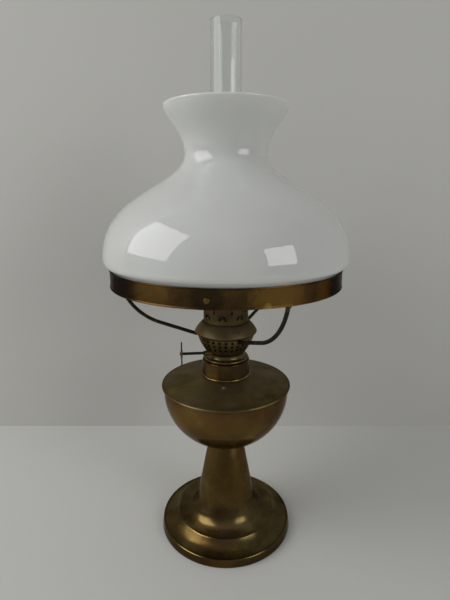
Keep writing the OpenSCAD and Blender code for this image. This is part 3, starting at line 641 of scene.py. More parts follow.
def clear_glass():
    """Thin clear glass with the faint waves of blown tube, and soot in its foot, dark enough to paint the
    shade inside the gallery too.
    """
    def wire(t, spot, c):
        drawn_out = t.add("ShaderNodeMapping", {"Vector": spot, "Scale": (1, 1, 0.25)}).outputs[0]
        _, height, _ = t.axes(spot)
        foot = low("chimney") * MM
        tone = t.mix(t.ramp(t.noise(spot, 30, 2), 0.3, 0.7), c.clear, c.smeared)
        # Soot at the chimney's foot, also painted shade seen through the gallery's openings
        soot_and_shade = t.ramp(height, foot + 0.016, foot + 0.04, 1, 0)
        smears = t.ramp(t.noise(spot, 55, 4), 0.4, 0.75, 0.0, 0.05)
        return {"Base Color": t.mix(soot_and_shade, tone, c.soot), "IOR": 1.48, "Transmission Weight": 1.0,
                "Roughness": t.math("MAXIMUM", smears, t.math("MULTIPLY", soot_and_shade, 0.7)),
                "Normal": t.bump(t.noise(drawn_out, 60, 1), 0.08, 0.0008)}
    return material("Clear glass", wire)


def woven_cotton():
    """Round wick: a fine plain weave, yellowed by oil and charred at its top."""
    def wire(t, spot, c):
        _, height, turn = t.axes(spot)
        warp = t.math("SINE", t.math("MULTIPLY", turn, 44))
        weft = t.math("SINE", t.math("MULTIPLY", height, 5200))
        fluff = t.math("MULTIPLY", t.noise(spot, 1500, 2), 0.8)
        weave = t.math("ADD", t.math("MULTIPLY", warp, weft), fluff)
        tone = t.mix(t.ramp(weave, -0.4, 1.4), shaded(c.cotton, 0.72), c.cotton)
        tone = t.mix(t.ramp(t.noise(spot, 45), 0.42, 0.7, 0, 0.6), tone, c.oiled)
        ragged = t.math("ADD", height, t.math("MULTIPLY", t.noise(spot, 300), 0.002))
        crown = high("wick") * MM
        tone = t.mix(t.ramp(ragged, crown - 0.004, crown - 0.0005), tone, c.char)
        return {"Base Color": tone, "Roughness": t.ramp(weave, -1, 1, 0.95, 0.8), "Sheen Weight": 0.3,
                "Normal": t.bump(weave, 0.5, 0.0003)}
    return material("Woven cotton", wire)


def wool_felt():
    """Pressed wool felt with loose fibres."""
    def wire(t, spot, c):
        fibres = t.noise(spot, 1400, 5, 0.7)
        pale = t.ramp(t.math("ADD", fibres, t.noise(spot, 120)), 0.8, 1.25)
        return {"Base Color": t.mix(pale, c.felt, shaded(c.felt, 1.8)), "Sheen Weight": 0.4,
                "Roughness": t.ramp(fibres, 0.3, 0.7, 1.0, 0.88), "Normal": t.bump(fibres, 0.6, 0.0005)}
    return material("Wool felt", wire)


# Pieces

class LampOperator:
    """What the lamp's operators share"""
    bl_options = {"REGISTER", "UNDO"}


class LAMP_OT_foot(LampOperator, bpy.types.Operator):
    """Spins the foot and the stem from one sheet of brass"""
    bl_idname = "lamp.foot"
    bl_label = "Foot and stem"

    def execute(self, context):
        s = sizes(context.scene.lamp_stand)
        stem_flange = 8
        rim_top = s.foot_radius - s.rim_draft
        valley = Vector((rim_top - 2 * s.rim_bead, s.rim_height))
        ridge = Vector((s.ridge_radius, s.rim_height + s.cove_height))
        stem = Vector((s.stem_base_radius, ridge.y + s.flare_height))
        taper = (s.stem_base_radius - s.stem_top_radius) / (s.stem_top - stem.y)
        flare_bend = (stem.x + taper * (s.flare_height + s.flare_dip), ridge.y - s.flare_dip)
        rim = [(s.foot_radius, s.foot_lift)]
        rim += bead((rim_top - s.rim_bead, s.rim_height), s.rim_bead, 0, 180)
        upper = curve(valley, (ridge.x + s.cove_reach, s.rim_height + s.cove_lift), ridge)[1:]
        upper += curve(ridge, flare_bend, stem, steps=2 * CURVE_STEPS)[1:]
        upper += [(s.stem_top_radius, s.stem_top), (s.stem_top_radius - stem_flange, s.stem_top)]
        rim_inside = [(rim_top - s.sheet_wall, s.rim_height - s.sheet_wall),
                      (s.foot_radius - s.sheet_wall, s.foot_lift)]
        bm = turned(rim + sheet_outline(upper, s.sheet_wall) + rim_inside)
        soften(bm, 0.25)
        face = s.foot_radius - 1.4
        line = (valley.x + s.rim_bead, s.foot_radius, s.rim_height + 0.3, s.rim_height + 2, 0.3)
        under_stem = (0, 100)
        ridge_highlight = (ridge.x - 0.6, ridge.x + 0.6, ridge.y - 0.6, 100, 0.3)
        finish = brass("Foot brass", "umber", "olive", rubbed=0.12, smooth=0.17, rough=0.3, bands=(
            ("umber", 0.8, face, FAR, 0, s.rim_height - 0.5, 0.5, 3),
            # Painted highlights: bright lines on the rim's bead toward the two windows
            ("bright", 0.85, *line, 9, -31, 15), ("bright", 0.8, *line, 9, 25, 12),
            ("dark", 0.8, valley.x - 1.2, valley.x + 0.5, 0, s.rim_height + 1, 0.6, 5),
            ("golden", 0.35, 0, 35, 40, FAR, 6, 5),
            # Painted dark reflection at the front of the stem's foot
            ("dark", 0.5, 30, 38, 22, 38, 3, 5, -2, 30),
            # Painted light: the front of the rim's face made paler
            ("golden", 0.3, face, FAR, 0, s.rim_height + 0.5, 0.5, 4, -3, 14),
            # Painted shade on the cove's front just outside the ridge, and painted light on its outer front
            ("dark", 0.4, 56.5, 62, *under_stem, 1.5, 20, -2, 18),
            ("golden", 0.3, 65, 71, *under_stem, 2, 20, -4, 24),
            # Painted light: the front of the flare paler, round its highlights and inside the ridge
            ("honey", 0.85, 38, 55, *under_stem, 3, 6, -4, 46),
            # Olive-gold heat colour left of the flare's left highlight, also a painted glow at that
            # highlight's dim edge
            ("golden", 0.3, 41, 56, *under_stem, 2, 6, -50, 14),
            # Purple heat colour at the front of the flare, made pale enough there to be painted light too
            ("purple", 0.6, 42, 55, *under_stem, 3, 10, -1, 18),
            ("purple", 0.3, 57, 63, *under_stem, 3, 10, -4, 14),
            # Painted highlights: a thin bright line along the ridge toward each window
            ("bright", 0.6, *ridge_highlight, 6, -31, 18), ("bright", 0.6, *ridge_highlight, 6, 25, 13),
            # Painted shade on the foot's right side
            ("dark", 0.3, 46, FAR, s.rim_height, 100, 3, 6, 75, 42),
            ("verdigris", 0.08, 40, 54, *under_stem, 3, 20, 30, 16),
            # Painted light at the front of the flare
            ("bright", 0.13, 44, 51, *under_stem, 2, 20, -3, 16),
            # Painted light on the cove's front left, where the left window's highlight falls
            ("golden", 0.25, 57, 64, *under_stem, 3, 8, -25, 40)))
        settle("foot_spun", bm, finish, "stand", "stand_brass", "foot")
        return {"FINISHED"}


class LAMP_OT_felt(LampOperator, bpy.types.Operator):
    """Lays the felt disc under the foot"""
    bl_idname = "lamp.felt"
    bl_label = "Felt pad"

    def execute(self, context):
        r, top = reach("base_felt"), high("base_felt")
        bm = turned([(0, 0), (r - 0.3, 0), (r, 0.35), (r, top - 0.25), (r - 0.3, top), (0, top)])
        felt = settle("felt_pad", bm, wool_felt(), "stand", "felt", "base_felt")
        return {"FINISHED"}


class LAMP_OT_font(LampOperator, bpy.types.Operator):
    """Spins the font's bowl and its lid with the rolled seam"""
    bl_idname = "lamp.font"
    bl_label = "Fuel font"

    def execute(self, context):
        s = sizes(context.scene.lamp_stand)
        start = math.asin((s.stem_top_radius + s.bowl_overhang) / s.bowl_radius)
        middle = s.seam - s.bowl_band
        steps = 2 * CURVE_STEPS
        angles = [start + (math.pi / 2 - start) * i / steps for i in range(steps + 1)]
        bowl = [(0, s.stem_top)]
        bowl += [(s.bowl_radius * math.sin(a), middle - s.bowl_depth * math.cos(a)) for a in angles]
        bowl += [(s.bowl_radius, s.seam)]
        bm = turned(sheet_outline(bowl, s.sheet_wall))
        soften(bm, 0.2)
        finish = brass("Bowl brass", "brown", "russet", rubbed=0.12, smooth=0.15, rough=0.25, bands=(
            # Painted reflection: a golden patch high on the front left
            ("golden", 0.4, *ANY, middle - 22, middle + 2, 5, 11, -20, 55),
            # Painted light: the underside paler at the front, where it would mirror the dark foot
            ("honey", 0.8, 0, 62, 0, middle - 32, 6, 5, 0, 60),
            # Painted highlights toward the two windows
            ("bright", 0.13, *ANY, middle - 30, middle - 6, 6, 20, -36, 20),
            ("bright", 0.1, *ANY, middle - 36, middle - 20, 5, 20, 36, 20),
            # Painted light low on the bowl's front
            ("bright", 0.25, *ANY, middle - 38, middle - 27, 3, 20, 0, 30),
            ("umber", 0.85, 60, FAR, s.seam - 4.5, s.seam, 1.5, 4)))
        settle("bowl_spun", bm, finish, "stand", "stand_brass", "font_bowl")

        lip, hem = s.seam + s.lip_height, s.lip_radius - s.hem_radius
        slope = (s.lid_top - lip) / (hem - s.lid_hole_radius)
        lid_wall = 0.8
        thickness = lid_wall * math.sqrt(1 + slope * slope)
        land, grip = s.bowl_radius - 1.6, s.bowl_radius + 0.1
        slope_steps = 8
        lid = [(s.lid_hole_radius, s.lid_top - thickness), (land, lid_height(s, land) - thickness),
               (land, s.seam), (grip, s.seam), (grip, lip - 2 * s.hem_radius)]
        lid += bead((hem, lip - s.hem_radius), s.hem_radius, -90, 90, 2 * BEAD_STEPS)
        radii = [hem - (hem - s.lid_hole_radius) * i / slope_steps for i in range(1, slope_steps + 1)]
        lid += [(radius, lid_height(s, radius)) for radius in radii]
        bm = turned(lid)
        soften(bm, 0.15)
        rolled = s.lip_radius - 2.2
        line = (s.lip_radius - 1.1, FAR, lip - 1.5, lip + 0.1, 0.35)
        finish = brass("Lid brass", "dull", "olive", rubbed=0.08, smooth=0.42, rough=0.56, bands=(
            ("umber", 0.7, rolled, FAR, *ANY, 0.4, 3),
            # Painted dark reflection on the front of the rolled seam, and painted highlights on it toward the
            # two windows
            ("dark", 0.8, *line, 3, 2, 15), ("bright", 0.9, *line, 9, -28, 13),
            ("bright", 0.4, *line, 9, 34, 18),
            # Painted light: the lid paler toward the front left and at the front
            ("bright", 0.16, 28, rolled, *ANY, 3, 6, -12, 55),
            ("bright", 0.1, 46, 64, *ANY, 4, 25, 0, 28),
            ("dark", 0.9, *ANY, 0, lip - 1.9, 0.3, 3),
            ("verdigris", 0.22, 25, 29, *ANY, 1.5, 60)),
            spots=(("verdigris", 0.4, (-2.6, -35.6, s.lid_top - 2.5), 4.2),
                   ("speck", 0.9, (-2.6, -35.0, s.lid_top - 2.4), 1.5)))
        settle("lid_spun", bm, finish, "stand", "stand_brass", "font_top")
        return {"FINISHED"}


class LAMP_OT_collar(LampOperator, bpy.types.Operator):
    """Turns the font's threaded collar and the burner's base that screws into it"""
    bl_idname = "lamp.collar"
    bl_label = "Collar and burner base"

    def execute(self, context):
        s, b = sizes(context.scene.lamp_stand), sizes(context.scene.lamp_burner)
        wall, foot = b.collar_radius, lid_height(s, b.collar_radius)
        spigot = s.lid_hole_radius - 0.05
        outline = thread(b.collar_bore, b.collar_top - 1, b.collar_low + 1, b.thread_pitch, b.thread_depth)
        outline += [(b.collar_bore, b.collar_low), (spigot, b.collar_low), (spigot, s.lid_top)]
        outline += bead((wall, foot + b.collar_bead), b.collar_bead, -90, 90)
        outline += bead((wall - b.collar_round, b.collar_top - b.collar_round), b.collar_round, 0, 90)
        outline += [(b.collar_bore + 0.3, b.collar_top)]
        bm = turned(outline, SMALL_STEPS)
        soften(bm, 0.12)
        finish = brass("Collar brass", "russet", "umber", rubbed=0.06, smooth=0.15, rough=0.24, bands=(
            # Painted highlight on the collar's wall toward the left window
            ("golden", 0.5, wall - 0.5, wall + 0.2, *ANY, 0.2, 6, -38, 22),
            ("bright", 0.75, wall + 0.2, FAR, 0, foot + 2.4, 0.3, 14),
            # Painted highlight along the collar's top edge toward the left window
            ("golden", 0.3, wall - 1.2, wall - 0.2, b.collar_top - 0.9, FAR, 0.2, 14, -30, 40),
            ("dark", 0.7, wall - 0.6, wall + 0.5, foot + 2.6, foot + 3.2, 0.3, 8),
            # Painted shade on the collar's right side
            ("dark", 0.45, *ANY, *ANY, 0.3, 3, 50, 45)))
        settle("collar_turned", bm, finish, "stand", "stand_brass", "burner_collar")

        bead_middle = Vector((b.base_radius - b.base_bead, b.collar_top + b.base_bead))
        cove = bead_middle + Vector((0, b.base_bead))
        floor_low = b.collar_top + b.base_wall
        floor_top = floor_low + b.base_wall
        skirt_in, skirt_out = b.skirt_radius - b.skirt_wall, b.skirt_radius - b.thread_depth
        neck_in, inner = b.neck_radius - b.base_wall, b.tube_radius + 0.03
        outline = [(inner, floor_low), (skirt_in, floor_low), (skirt_in, b.base_low), (skirt_out, b.base_low)]
        outline += thread(skirt_out, b.base_low + 0.4, b.collar_top - 0.8, b.thread_pitch, b.thread_depth)
        outline += [(skirt_out, b.collar_top)] + bead(bead_middle, b.base_bead, -90, 90)
        outline += curve(cove, (b.neck_radius, cove.y), (b.neck_radius, b.neck_top))[1:]
        outline += [(neck_in, b.neck_top), (neck_in, floor_top), (inner, floor_top)]
        bm = turned(outline, SMALL_STEPS)
        soften(bm, 0.12)
        finish = brass("Base brass", "dull", "olive", rubbed=0.15, smooth=0.22, rough=0.36, bands=(
            ("golden", 0.25, b.base_radius - 0.7, FAR, b.collar_top + 0.4, b.collar_top + 2.2, 0.3, 12),
            ("dark", 0.75, 0, b.neck_radius + 1.2, b.neck_top - 1.6, FAR, 0.5, 6)))
        settle("base_turned", bm, finish, "burner", "burner_brass", "burner_base")
        return {"FINISHED"}


class LAMP_OT_basket(LampOperator, bpy.types.Operator):
    """Bends a pierced sheet into the burner's air basket"""
    bl_idname = "lamp.basket"
    bl_label = "Air basket"

    def execute(self, context):
        # The flat sheet has one unit of width for each hole and its height in metres
        b = context.scene.lamp_burner
        foot, top = Vector((b.neck_radius, b.neck_top)), Vector((b.basket_radius, b.basket_top))
        reach_share, rise_share, side_steps = 0.82, 0.57, 60
        full = (foot.x + reach_share * (top.x - foot.x), foot.y + rise_share * (top.y - foot.y))
        side = curve(foot, full, top, steps=side_steps)
        level = 0.02 * MM

        def radius_at(height):
            for p, q in zip(side, side[1:]):
                if height <= q.y:
                    break
            return p.x + (q.x - p.x) * (height - p.y) / (q.y - p.y)

        bm = bmesh.new()
        for row in range(b.air_rows):
            middle = b.basket_top - b.air_drop - row * b.air_row
            cell = TURN * radius_at(middle) / b.air_holes
            one = bmesh.new()
            hole = bmesh.ops.create_circle(one, segments=16, radius=b.air_hole)["verts"]
            bmesh.ops.scale(one, vec=(1 / cell, 1, 1), verts=hole)
            square = bmesh.ops.create_circle(one, segments=4, radius=math.sqrt(0.5))["verts"]
            bmesh.ops.rotate(one, cent=(0, 0, 0), matrix=Matrix.Rotation(math.pi / 4, 3, "Z"), verts=square)
            bmesh.ops.scale(one, vec=(1, b.air_row, 1), verts=square)
            bmesh.ops.subdivide_edges(one, edges=list({e for v in square for e in v.link_edges}), cuts=3)
            bmesh.ops.bridge_loops(one, edges=one.edges[:])
            bmesh.ops.translate(one, vec=(0, middle, 0), verts=one.verts)
            add_to(bm, one)
        cells = bm.verts[:] + bm.edges[:] + bm.faces[:]
        for i in range(1, b.air_holes):
            copy = bmesh.ops.duplicate(bm, geom=cells)["geom"]
            bmesh.ops.translate(bm, vec=(i, 0, 0), verts=only_points(copy))
        bmesh.ops.remove_doubles(bm, verts=bm.verts, dist=level)
        bmesh.ops.bisect_plane(bm, geom=bm.verts[:] + bm.edges[:] + bm.faces[:],
                               plane_co=(0, b.basket_top, 0), plane_no=(0, 1, 0), clear_outer=True)
        start = min(v.co.y for v in bm.verts)
        border = [e for e in bm.edges if all(v.co.y < start + level for v in e.verts)]
        strips = 5
        for _ in range(strips):
            grown = bmesh.ops.extrude_edge_only(bm, edges=border)["geom"]
            bmesh.ops.translate(bm, vec=(0, (b.neck_top - start) / strips, 0), verts=only_points(grown))
            border = [g for g in grown if isinstance(g, bmesh.types.BMEdge)
                      and abs(g.verts[0].co.y - g.verts[1].co.y) < level]
        for v in bm.verts:
            around = TURN * v.co.x / b.air_holes
            wide = radius_at(v.co.y)
            v.co = (wide * math.cos(around), wide * math.sin(around), v.co.y)
        tidy(bm)
        first = bm.faces[:][0]
        if first.normal.dot(Vector((*first.calc_center_median().xy, 0))) < 0:
            bmesh.ops.reverse_faces(bm, faces=bm.faces)
        bmesh.ops.solidify(bm, geom=bm.faces[:], thickness=b.basket_wall)

        b = sizes(b)
        rim_low = b.basket_top - b.basket_wall
        rim = [(b.basket_rim, rim_low), (b.basket_radius - 0.5, rim_low),
               (b.basket_radius - 0.15, b.basket_top), (b.basket_rim, b.basket_top)]
        add_to(bm, turned(rim, SMALL_STEPS))
        finish = brass("Basket brass", "dull", "olive", rubbed=0.5, smooth=0.26, rough=0.42, bands=(
            ("umber", 0.6, *ANY, 0, b.basket_top - 9, 3, 3),
            ("purple", 0.5, *ANY, b.neck_top - 1, b.neck_top + 5.5, 1.2, 8),
            ("dark", 0.75, *ANY, b.neck_top - 1, b.neck_top + 3, 1.5, 4)))
        settle("basket_pierced", bm, finish, "burner", "burner_brass", "burner_basket")
        return {"FINISHED"}


class LAMP_OT_gallery(LampOperator, bpy.types.Operator):
    """Finishes the pierced crown that holds the chimney"""
    bl_idname = "lamp.gallery"
    bl_label = "Chimney gallery"

    def execute(self, context):
        bm = bmesh.new()
        bm.from_mesh(frame["nodes"]["chimney_gallery"].data)
        bmesh.ops.remove_doubles(bm, verts=bm.verts, dist=5e-6)
        seat, hub_top = sizes(context.scene.lamp_burner).basket_top, sizes(context.scene.lamp_carrier).hub_top
        finish = brass("Gallery brass", "olive", "umber", rubbed=0.08, smooth=0.3, rough=0.45, bands=(
            # Painted shade in the gap where the crown stands in the hub's hole
            ("dark", 0.95, *ANY, 0, hub_top + 0.9, 0.4, 3),
            # Painted shade on the gallery's right side
            ("dark", 0.3, *ANY, *ANY, 1, 3, 55, 35),
            ("dark", 0.5, *ANY, seat + 24, FAR, 6, 20),
            ("purple", 0.5, *ANY, seat + 27, FAR, 5, 12)))
        settle("gallery_pierced", bm, finish, "burner", "burner_brass", "chimney_gallery")
        return {"FINISHED"}


class LAMP_OT_raiser(LampOperator, bpy.types.Operator):
    """Turns the wick raiser's spindle and its milled disc"""
    bl_idname = "lamp.raiser"
    bl_label = "Wick raiser"

    def execute(self, context):
        b = sizes(context.scene.lamp_burner)
        r = b.shaft_radius
        cap_height, cap_radius = 0.9, 1.9
        start = -(b.knob_place + b.knob_thickness / 2 + cap_height)
        cap_low = start + cap_height + 0.05
        end, chamfer, stop, stop_radius, stop_width = 10, 0.4, -25.8, r + 0.8, 1.5
        outline = [(0, start)] + bead((0, start + cap_height + 0.35), cap_radius, -42, -10, 6)
        outline += [(cap_radius, cap_low), (r, cap_low), (r, stop), (stop_radius, stop),
                    (stop_radius, stop + stop_width), (r, stop + stop_width), (r, end - chamfer),
                    (r - chamfer, end), (0, end)]
        bm = turned(outline, THIN_STEPS)
        soften(bm, 0.12)
        place(bm, shaft_matrix(0))
        settle("spindle_turned", bm, dark_wire(), "raiser", "dark_wire", "wick_shaft")

        half, rim = b.knob_thickness / 2, 0.35 * b.knob_thickness
        disc = b.knob_radius
        face = [(disc, rim - 0.15), (disc - 0.3, rim), (disc - 2.2, rim), (disc - 2.5, rim - 0.25),
                (5.2, rim - 0.25), (4.6, half - 0.2), (3.6, half), (r + 0.04, half)]
        # Each groove is four steps wide, from its bottom up to the edge and back
        groove = (0.026, 0.013, 0.0, 0.013)
        steps = len(groove) * b.knob_grooves
        bm = turned(face + [(x, -z) for x, z in reversed(face)], steps)
        for v in bm.verts:
            if v.co.xy.length > (disc - 0.1) * MM:
                share = round(math.atan2(v.co.y, v.co.x) / TURN * steps) % len(groove)
                v.co.xy *= 1 - groove[share]
        soften(bm, 0.08, 1)
        place(bm, shaft_matrix(-b.knob_place))
        finish = brass("Knob brass", "umber", "dull", rubbed=0.2, smooth=0.24, rough=0.38)
        settle("knob_milled", bm, finish, "raiser", "stand_brass", "wick_knob")
        return {"FINISHED"}


class LAMP_OT_wick(LampOperator, bpy.types.Operator):
    """Weaves the round wick, closed to a ring above its slot"""
    bl_idname = "lamp.wick"
    bl_label = "Wick"

    def execute(self, context):
        b = sizes(context.scene.lamp_burner)
        r, inner = b.wick_radius, b.wick_radius - b.wick_thickness
        bottom, slot_top, top = low("wick"), b.wick_slot_top, high("wick")
        soft, tail_steps, tail_rows = 0.5, 72, 40
        bm = turned([(inner, slot_top), (r, slot_top), (r, top - soft), (r - soft, top), (inner + soft, top),
                     (inner, top - soft)], SMALL_STEPS)
        gap = 2 * math.asin(b.wick_slot / 2 / inner)
        tail = bmesh.new()
        end = tail.faces.new(drawn(tail, ((inner, bottom), (r, bottom), (r, slot_top), (inner, slot_top))))
        bmesh.ops.spin(tail, geom=[end], cent=(0, 0, 0), axis=(0, 0, 1), dvec=(0, 0, 0), angle=TURN - gap,
                       steps=tail_steps, use_duplicate=False)
        spindle_turn = math.atan2(SPINDLE.y, SPINDLE.x)
        place(tail, Matrix.Rotation(spindle_turn + math.pi / 2 + gap / 2, 4, "Z"))
        tidy(tail)
        upright = [e for e in tail.edges if abs(e.verts[0].co.z - e.verts[1].co.z) > 20 * MM]
        bmesh.ops.subdivide_edges(tail, edges=upright, cuts=tail_rows)
        add_to(bm, tail)
        settle("wick_woven", bm, woven_cotton(), "wick", "cotton", "wick")
        return {"FINISHED"}


class LAMP_OT_chimney(LampOperator, bpy.types.Operator):
    """Blows the clear chimney"""
    bl_idname = "lamp.chimney"
    bl_label = "Chimney"

    def execute(self, context):
        g = sizes(context.scene.lamp_glass)
        wide, flue, straight = g.chimney_radius, g.flue_radius, 6
        base = g.chimney_low + g.chimney_foot
        middle, top = base + g.shoulder / 2, base + g.shoulder
        outline = [(wide, g.chimney_low), (wide, base - straight)]
        outline += curve((wide, base), (wide, middle), (flue, middle), (flue, top))
        outline += [(flue, top + straight), (flue, g.chimney_top)]
        bm = turned(sheet_outline(outline, g.chimney_wall), SMALL_STEPS)
        soften(bm, 0.6, 4)
        settle("chimney_blown", bm, clear_glass(), "chimney", "clear_glass", "chimney")
        return {"FINISHED"}


class LAMP_OT_carrier(LampOperator, bpy.types.Operator):
    """Makes the shade's carrier: spun hub, bent wire arms, rolled ring and its screws"""
    bl_idname = "lamp.carrier"
    bl_label = "Shade carrier"

    def execute(self, context):
        k = sizes(context.scene.lamp_carrier)
        self.hub(k)
        self.arms(k)
        self.ring(k)
        self.screws(k)
        return {"FINISHED"}

    def hub(self, k):
        belt, top = Vector((k.hub_radius, k.hub_low + k.hub_belt)), Vector((k.hub_hole, k.hub_top))
        run = (top - belt).normalized()
        bend = (belt + top) / 2 + 2 * k.hub_bulge * Vector((run.y, -run.x))
        outline = [(k.hub_lip, k.hub_low), (belt.x, belt.y - k.hub_edge)] + curve(belt, bend, top)
        bm = turned(sheet_outline(outline, k.hub_wall), SMALL_STEPS)
        soften(bm, 0.3)
        seat_in, seat_out, seat_top = k.hub_hole + 2, k.hub_lip - 0.2, k.hub_low + k.hub_wall
        seat = [(seat_in, k.hub_low), (seat_out, k.hub_low), (seat_out, seat_top), (seat_in, seat_top)]
        add_to(bm, turned(seat, SMALL_STEPS))
        finish = brass("Hub brass", "dull", "brown", rubbed=0.1, smooth=0.42, rough=0.55, bands=(
            # Painted shade on the hub's right side
            ("umber", 0.55, *ANY, *ANY, 1, 3, 50, 40),
            # Painted shade under the hub's widest line
            ("umber", 0.7, *ANY, 0, belt.y - 0.6, 0.4, 3),
            # Painted shade in the gap round the gallery
            ("dark", 0.9, 0, k.hub_hole + 1.2, *ANY, 0.4, 3)))
        settle("hub_spun", bm, finish, "carrier", "stand_brass", "carrier_hub")

    def arms(self, k):
        start = Vector((k.hub_lip + 0.3, k.hub_low - k.arm_drop))
        end = Vector(((k.ring_ledge + k.ring_inner) / 2, k.ring_low - k.arm_pad_height / 2))
        along = Vector((math.cos(k.arm_slope), math.sin(k.arm_slope)))
        up = Vector((-along.y, along.x))
        offset = start + k.arm_bend * up - end
        run = -offset.dot(along) - math.sqrt(offset.dot(along) ** 2 - offset.dot(offset) + k.arm_bend ** 2)
        centre = start + run * along + k.arm_bend * up
        sweep = math.atan2(end.y - centre.y, end.x - centre.x) + math.pi / 2 - k.arm_slope
        pad_low, pad_edge = k.ring_low - k.arm_pad_height, 0.6
        for i, name in enumerate(("right", "rear", "left")):
            bm = bmesh.new()
            ring = bmesh.ops.create_circle(bm, segments=20, radius=k.wire_radius)["verts"]
            across = Matrix.Rotation(math.pi / 2 - k.arm_slope, 3, "Y")
            bmesh.ops.rotate(bm, cent=(0, 0, 0), matrix=across, verts=ring)
            bmesh.ops.translate(bm, vec=(start.x, 0, start.y), verts=ring)
            far = only_points(bmesh.ops.extrude_edge_only(bm, edges=bm.edges[:])["geom"])
            bmesh.ops.translate(bm, vec=(along.x * run, 0, along.y * run), verts=far)
            far_edges = [e for e in bm.edges if e.verts[0] in far and e.verts[1] in far]
            bmesh.ops.spin(bm, geom=far + far_edges, cent=(centre.x, 0, centre.y), axis=(0, -1, 0),
                           dvec=(0, 0, 0), angle=sweep, steps=28, use_duplicate=False)
            bmesh.ops.holes_fill(bm, edges=[e for e in bm.edges if e.is_boundary], sides=0)
            place(bm, Matrix.Scale(MM, 4))
            tidy(bm)
            pad = turned([(0, pad_low), (k.arm_pad - pad_edge, pad_low), (k.arm_pad, pad_low + pad_edge),
                          (k.arm_pad, k.ring_low), (0, k.ring_low)], THIN_STEPS)
            place(pad, Matrix.Translation((end.x * MM, 0, 0)))
            add_to(bm, pad)
            place(bm, Matrix.Rotation(k.arm_turn + TURN * i / 3 - math.pi / 2, 4, "Z"))
            settle("arm_wire_" + name, bm, dark_wire(), "carrier", "dark_wire", "arm_" + name)

    def ring(self, k):
        outer, bead_radius = k.ring_inner + k.ring_wall, k.ring_inner + k.ring_bead
        shoulder = 2.5 * k.ring_bead
        ledge_top = k.ring_low + k.ring_wall
        outline = [(k.ring_ledge, k.ring_low)]
        outline += bead((bead_radius, k.ring_low + k.ring_bead), k.ring_bead, -90, 60)
        outline += [(outer, k.ring_low + shoulder), (outer, k.ring_top - shoulder)]
        outline += bead((bead_radius, k.ring_top - k.ring_bead), k.ring_bead, -60, 180)
        outline += [(k.ring_inner, ledge_top), (k.ring_ledge, ledge_top)]
        bm = turned(outline, BROAD_STEPS)
        soften(bm, 0.1)
        # Painted reflections of the room on the band, golden and dark, and one bright scratch: colour,
        # strength, direction, height above the ring's underside and reach
        painted_reflections_and_scratch = (("golden", 0.6, 22, 9, 30), ("golden", 0.35, 47, 9, 16), ("golden", 0.3, -32, 9, 24),
                 ("dark", 0.95, -66, 9, 60), ("dark", 0.75, 66, 9, 40), ("dark", 0.75, -7.6, 8, 17),
                 ("bright", 0.3, 16.5, 2, 4))
        spots = []
        for hue, strength, degrees, rise, size in painted_reflections_and_scratch:
            turn = math.radians(degrees - 90)
            where = (outer * math.cos(turn), outer * math.sin(turn), k.ring_low + rise)
            spots.append((hue, strength, where, size))
        finish = brass("Ring brass", "umber", "russet", rubbed=0.08, smooth=0.2, rough=0.3, bands=(
            ("dark", 0.55, *ANY, k.ring_top - 1.2, FAR, 0.5, 12),
            ("golden", 0.25, outer - 0.3, FAR, k.ring_low - 1, k.ring_low + 1, 0.3, 10)),
            spots=spots, glance="dim_edge")
        settle("ring_rolled", bm, finish, "carrier", "stand_brass", "shade_ring")

    def screws(self, k):
        outer, tip, shank = k.ring_inner + k.ring_wall, k.ring_inner - 1, 1.4
        head = 0.6 * k.screw_radius
        edge, crown = (k.screw_radius, outer + head / 3), outer + head
        outline = [(0, tip), (shank, tip), (shank, outer), (k.screw_radius, outer), edge]
        outline += curve(edge, (k.screw_radius, crown), (0, crown), steps=12)[1:]
        bm = bmesh.new()
        for i in range(3):
            screw = turned(outline, THIN_STEPS)
            soften(screw, 0.1)
            place(screw, Matrix.Rotation(k.screw_turn + TURN * i / 3 - math.pi / 2, 4, "Z")
                  @ Matrix.Translation((0, 0, (k.ring_low + k.screw_height) * MM))
                  @ Matrix.Rotation(math.pi / 2, 4, "Y"))
            add_to(bm, screw)
        finish = brass("Screw brass", "olive", "umber", rubbed=0.1, smooth=0.34, rough=0.46)
        settle("screws_domed", bm, finish, "carrier", "stand_brass", "ring_screws")


class LAMP_OT_shade(LampOperator, bpy.types.Operator):
    """Blows the opal shade"""
    bl_idname = "lamp.shade"
    bl_label = "Opal shade"

    def execute(self, context):
        g = sizes(context.scene.lamp_glass)
        step = Vector((g.shade_foot, g.shade_low + g.shade_step))
        belly = Vector((g.belly_radius, g.shade_low + g.belly_height))
        neck = Vector((g.neck_radius, g.shade_low + g.neck_height))
        mouth = Vector((g.mouth_radius, g.shade_top))

        def above(point, rise):
            return point + Vector((0, rise))

        outline = [(g.shade_foot, g.shade_low)]
        outline += curve(step, above(step, g.step_pull), above(belly, -g.step_pull - 1), belly)
        fine = 2 * CURVE_STEPS
        outline += curve(belly, above(belly, g.belly_full), above(neck, -g.neck_full), neck, fine)[1:]
        under_mouth = mouth - Vector((g.mouth_lean, g.mouth_pull))
        outline += curve(neck, above(neck, g.neck_rise), under_mouth, mouth)[1:]
        bm = turned(sheet_outline(outline, g.shade_wall), BROAD_STEPS)
        soften(bm, 1.1, 4)
        settle("shade_opal", bm, opal_glass(), "shade", "opal_glass", "shade")
        return {"FINISHED"}


class LAMP_OT_hidden(LampOperator, bpy.types.Operator):
    """Gives the pieces inside the lamp their finishes"""
    bl_idname = "lamp.hidden"
    bl_label = "Inner pieces"

    def execute(self, context):
        plain = brass("Inner brass", "olive", "brown", rubbed=0.3, smooth=0.26, rough=0.42)
        steel = rough_metal("Plain steel", "steel", roughness=0.32, scale=300, strength=0.15)
        iron = rough_metal("Rough iron", "iron", roughness=0.6, scale=220, strength=0.6)
        for finish, names in ((plain, ("font_boss", "wick_tube", "air_tube", "shaft_bracket", "shaft_bush")),
                              (steel, ("tie_rod", "tie_washer", "tie_nut", "sprockets")),
                              (iron, ("foot_weight",))):
            for name in names:
                piece = frame["nodes"][name]
                piece.data.materials.clear()
                piece.data.materials.append(finish)
        return {"FINISHED"}


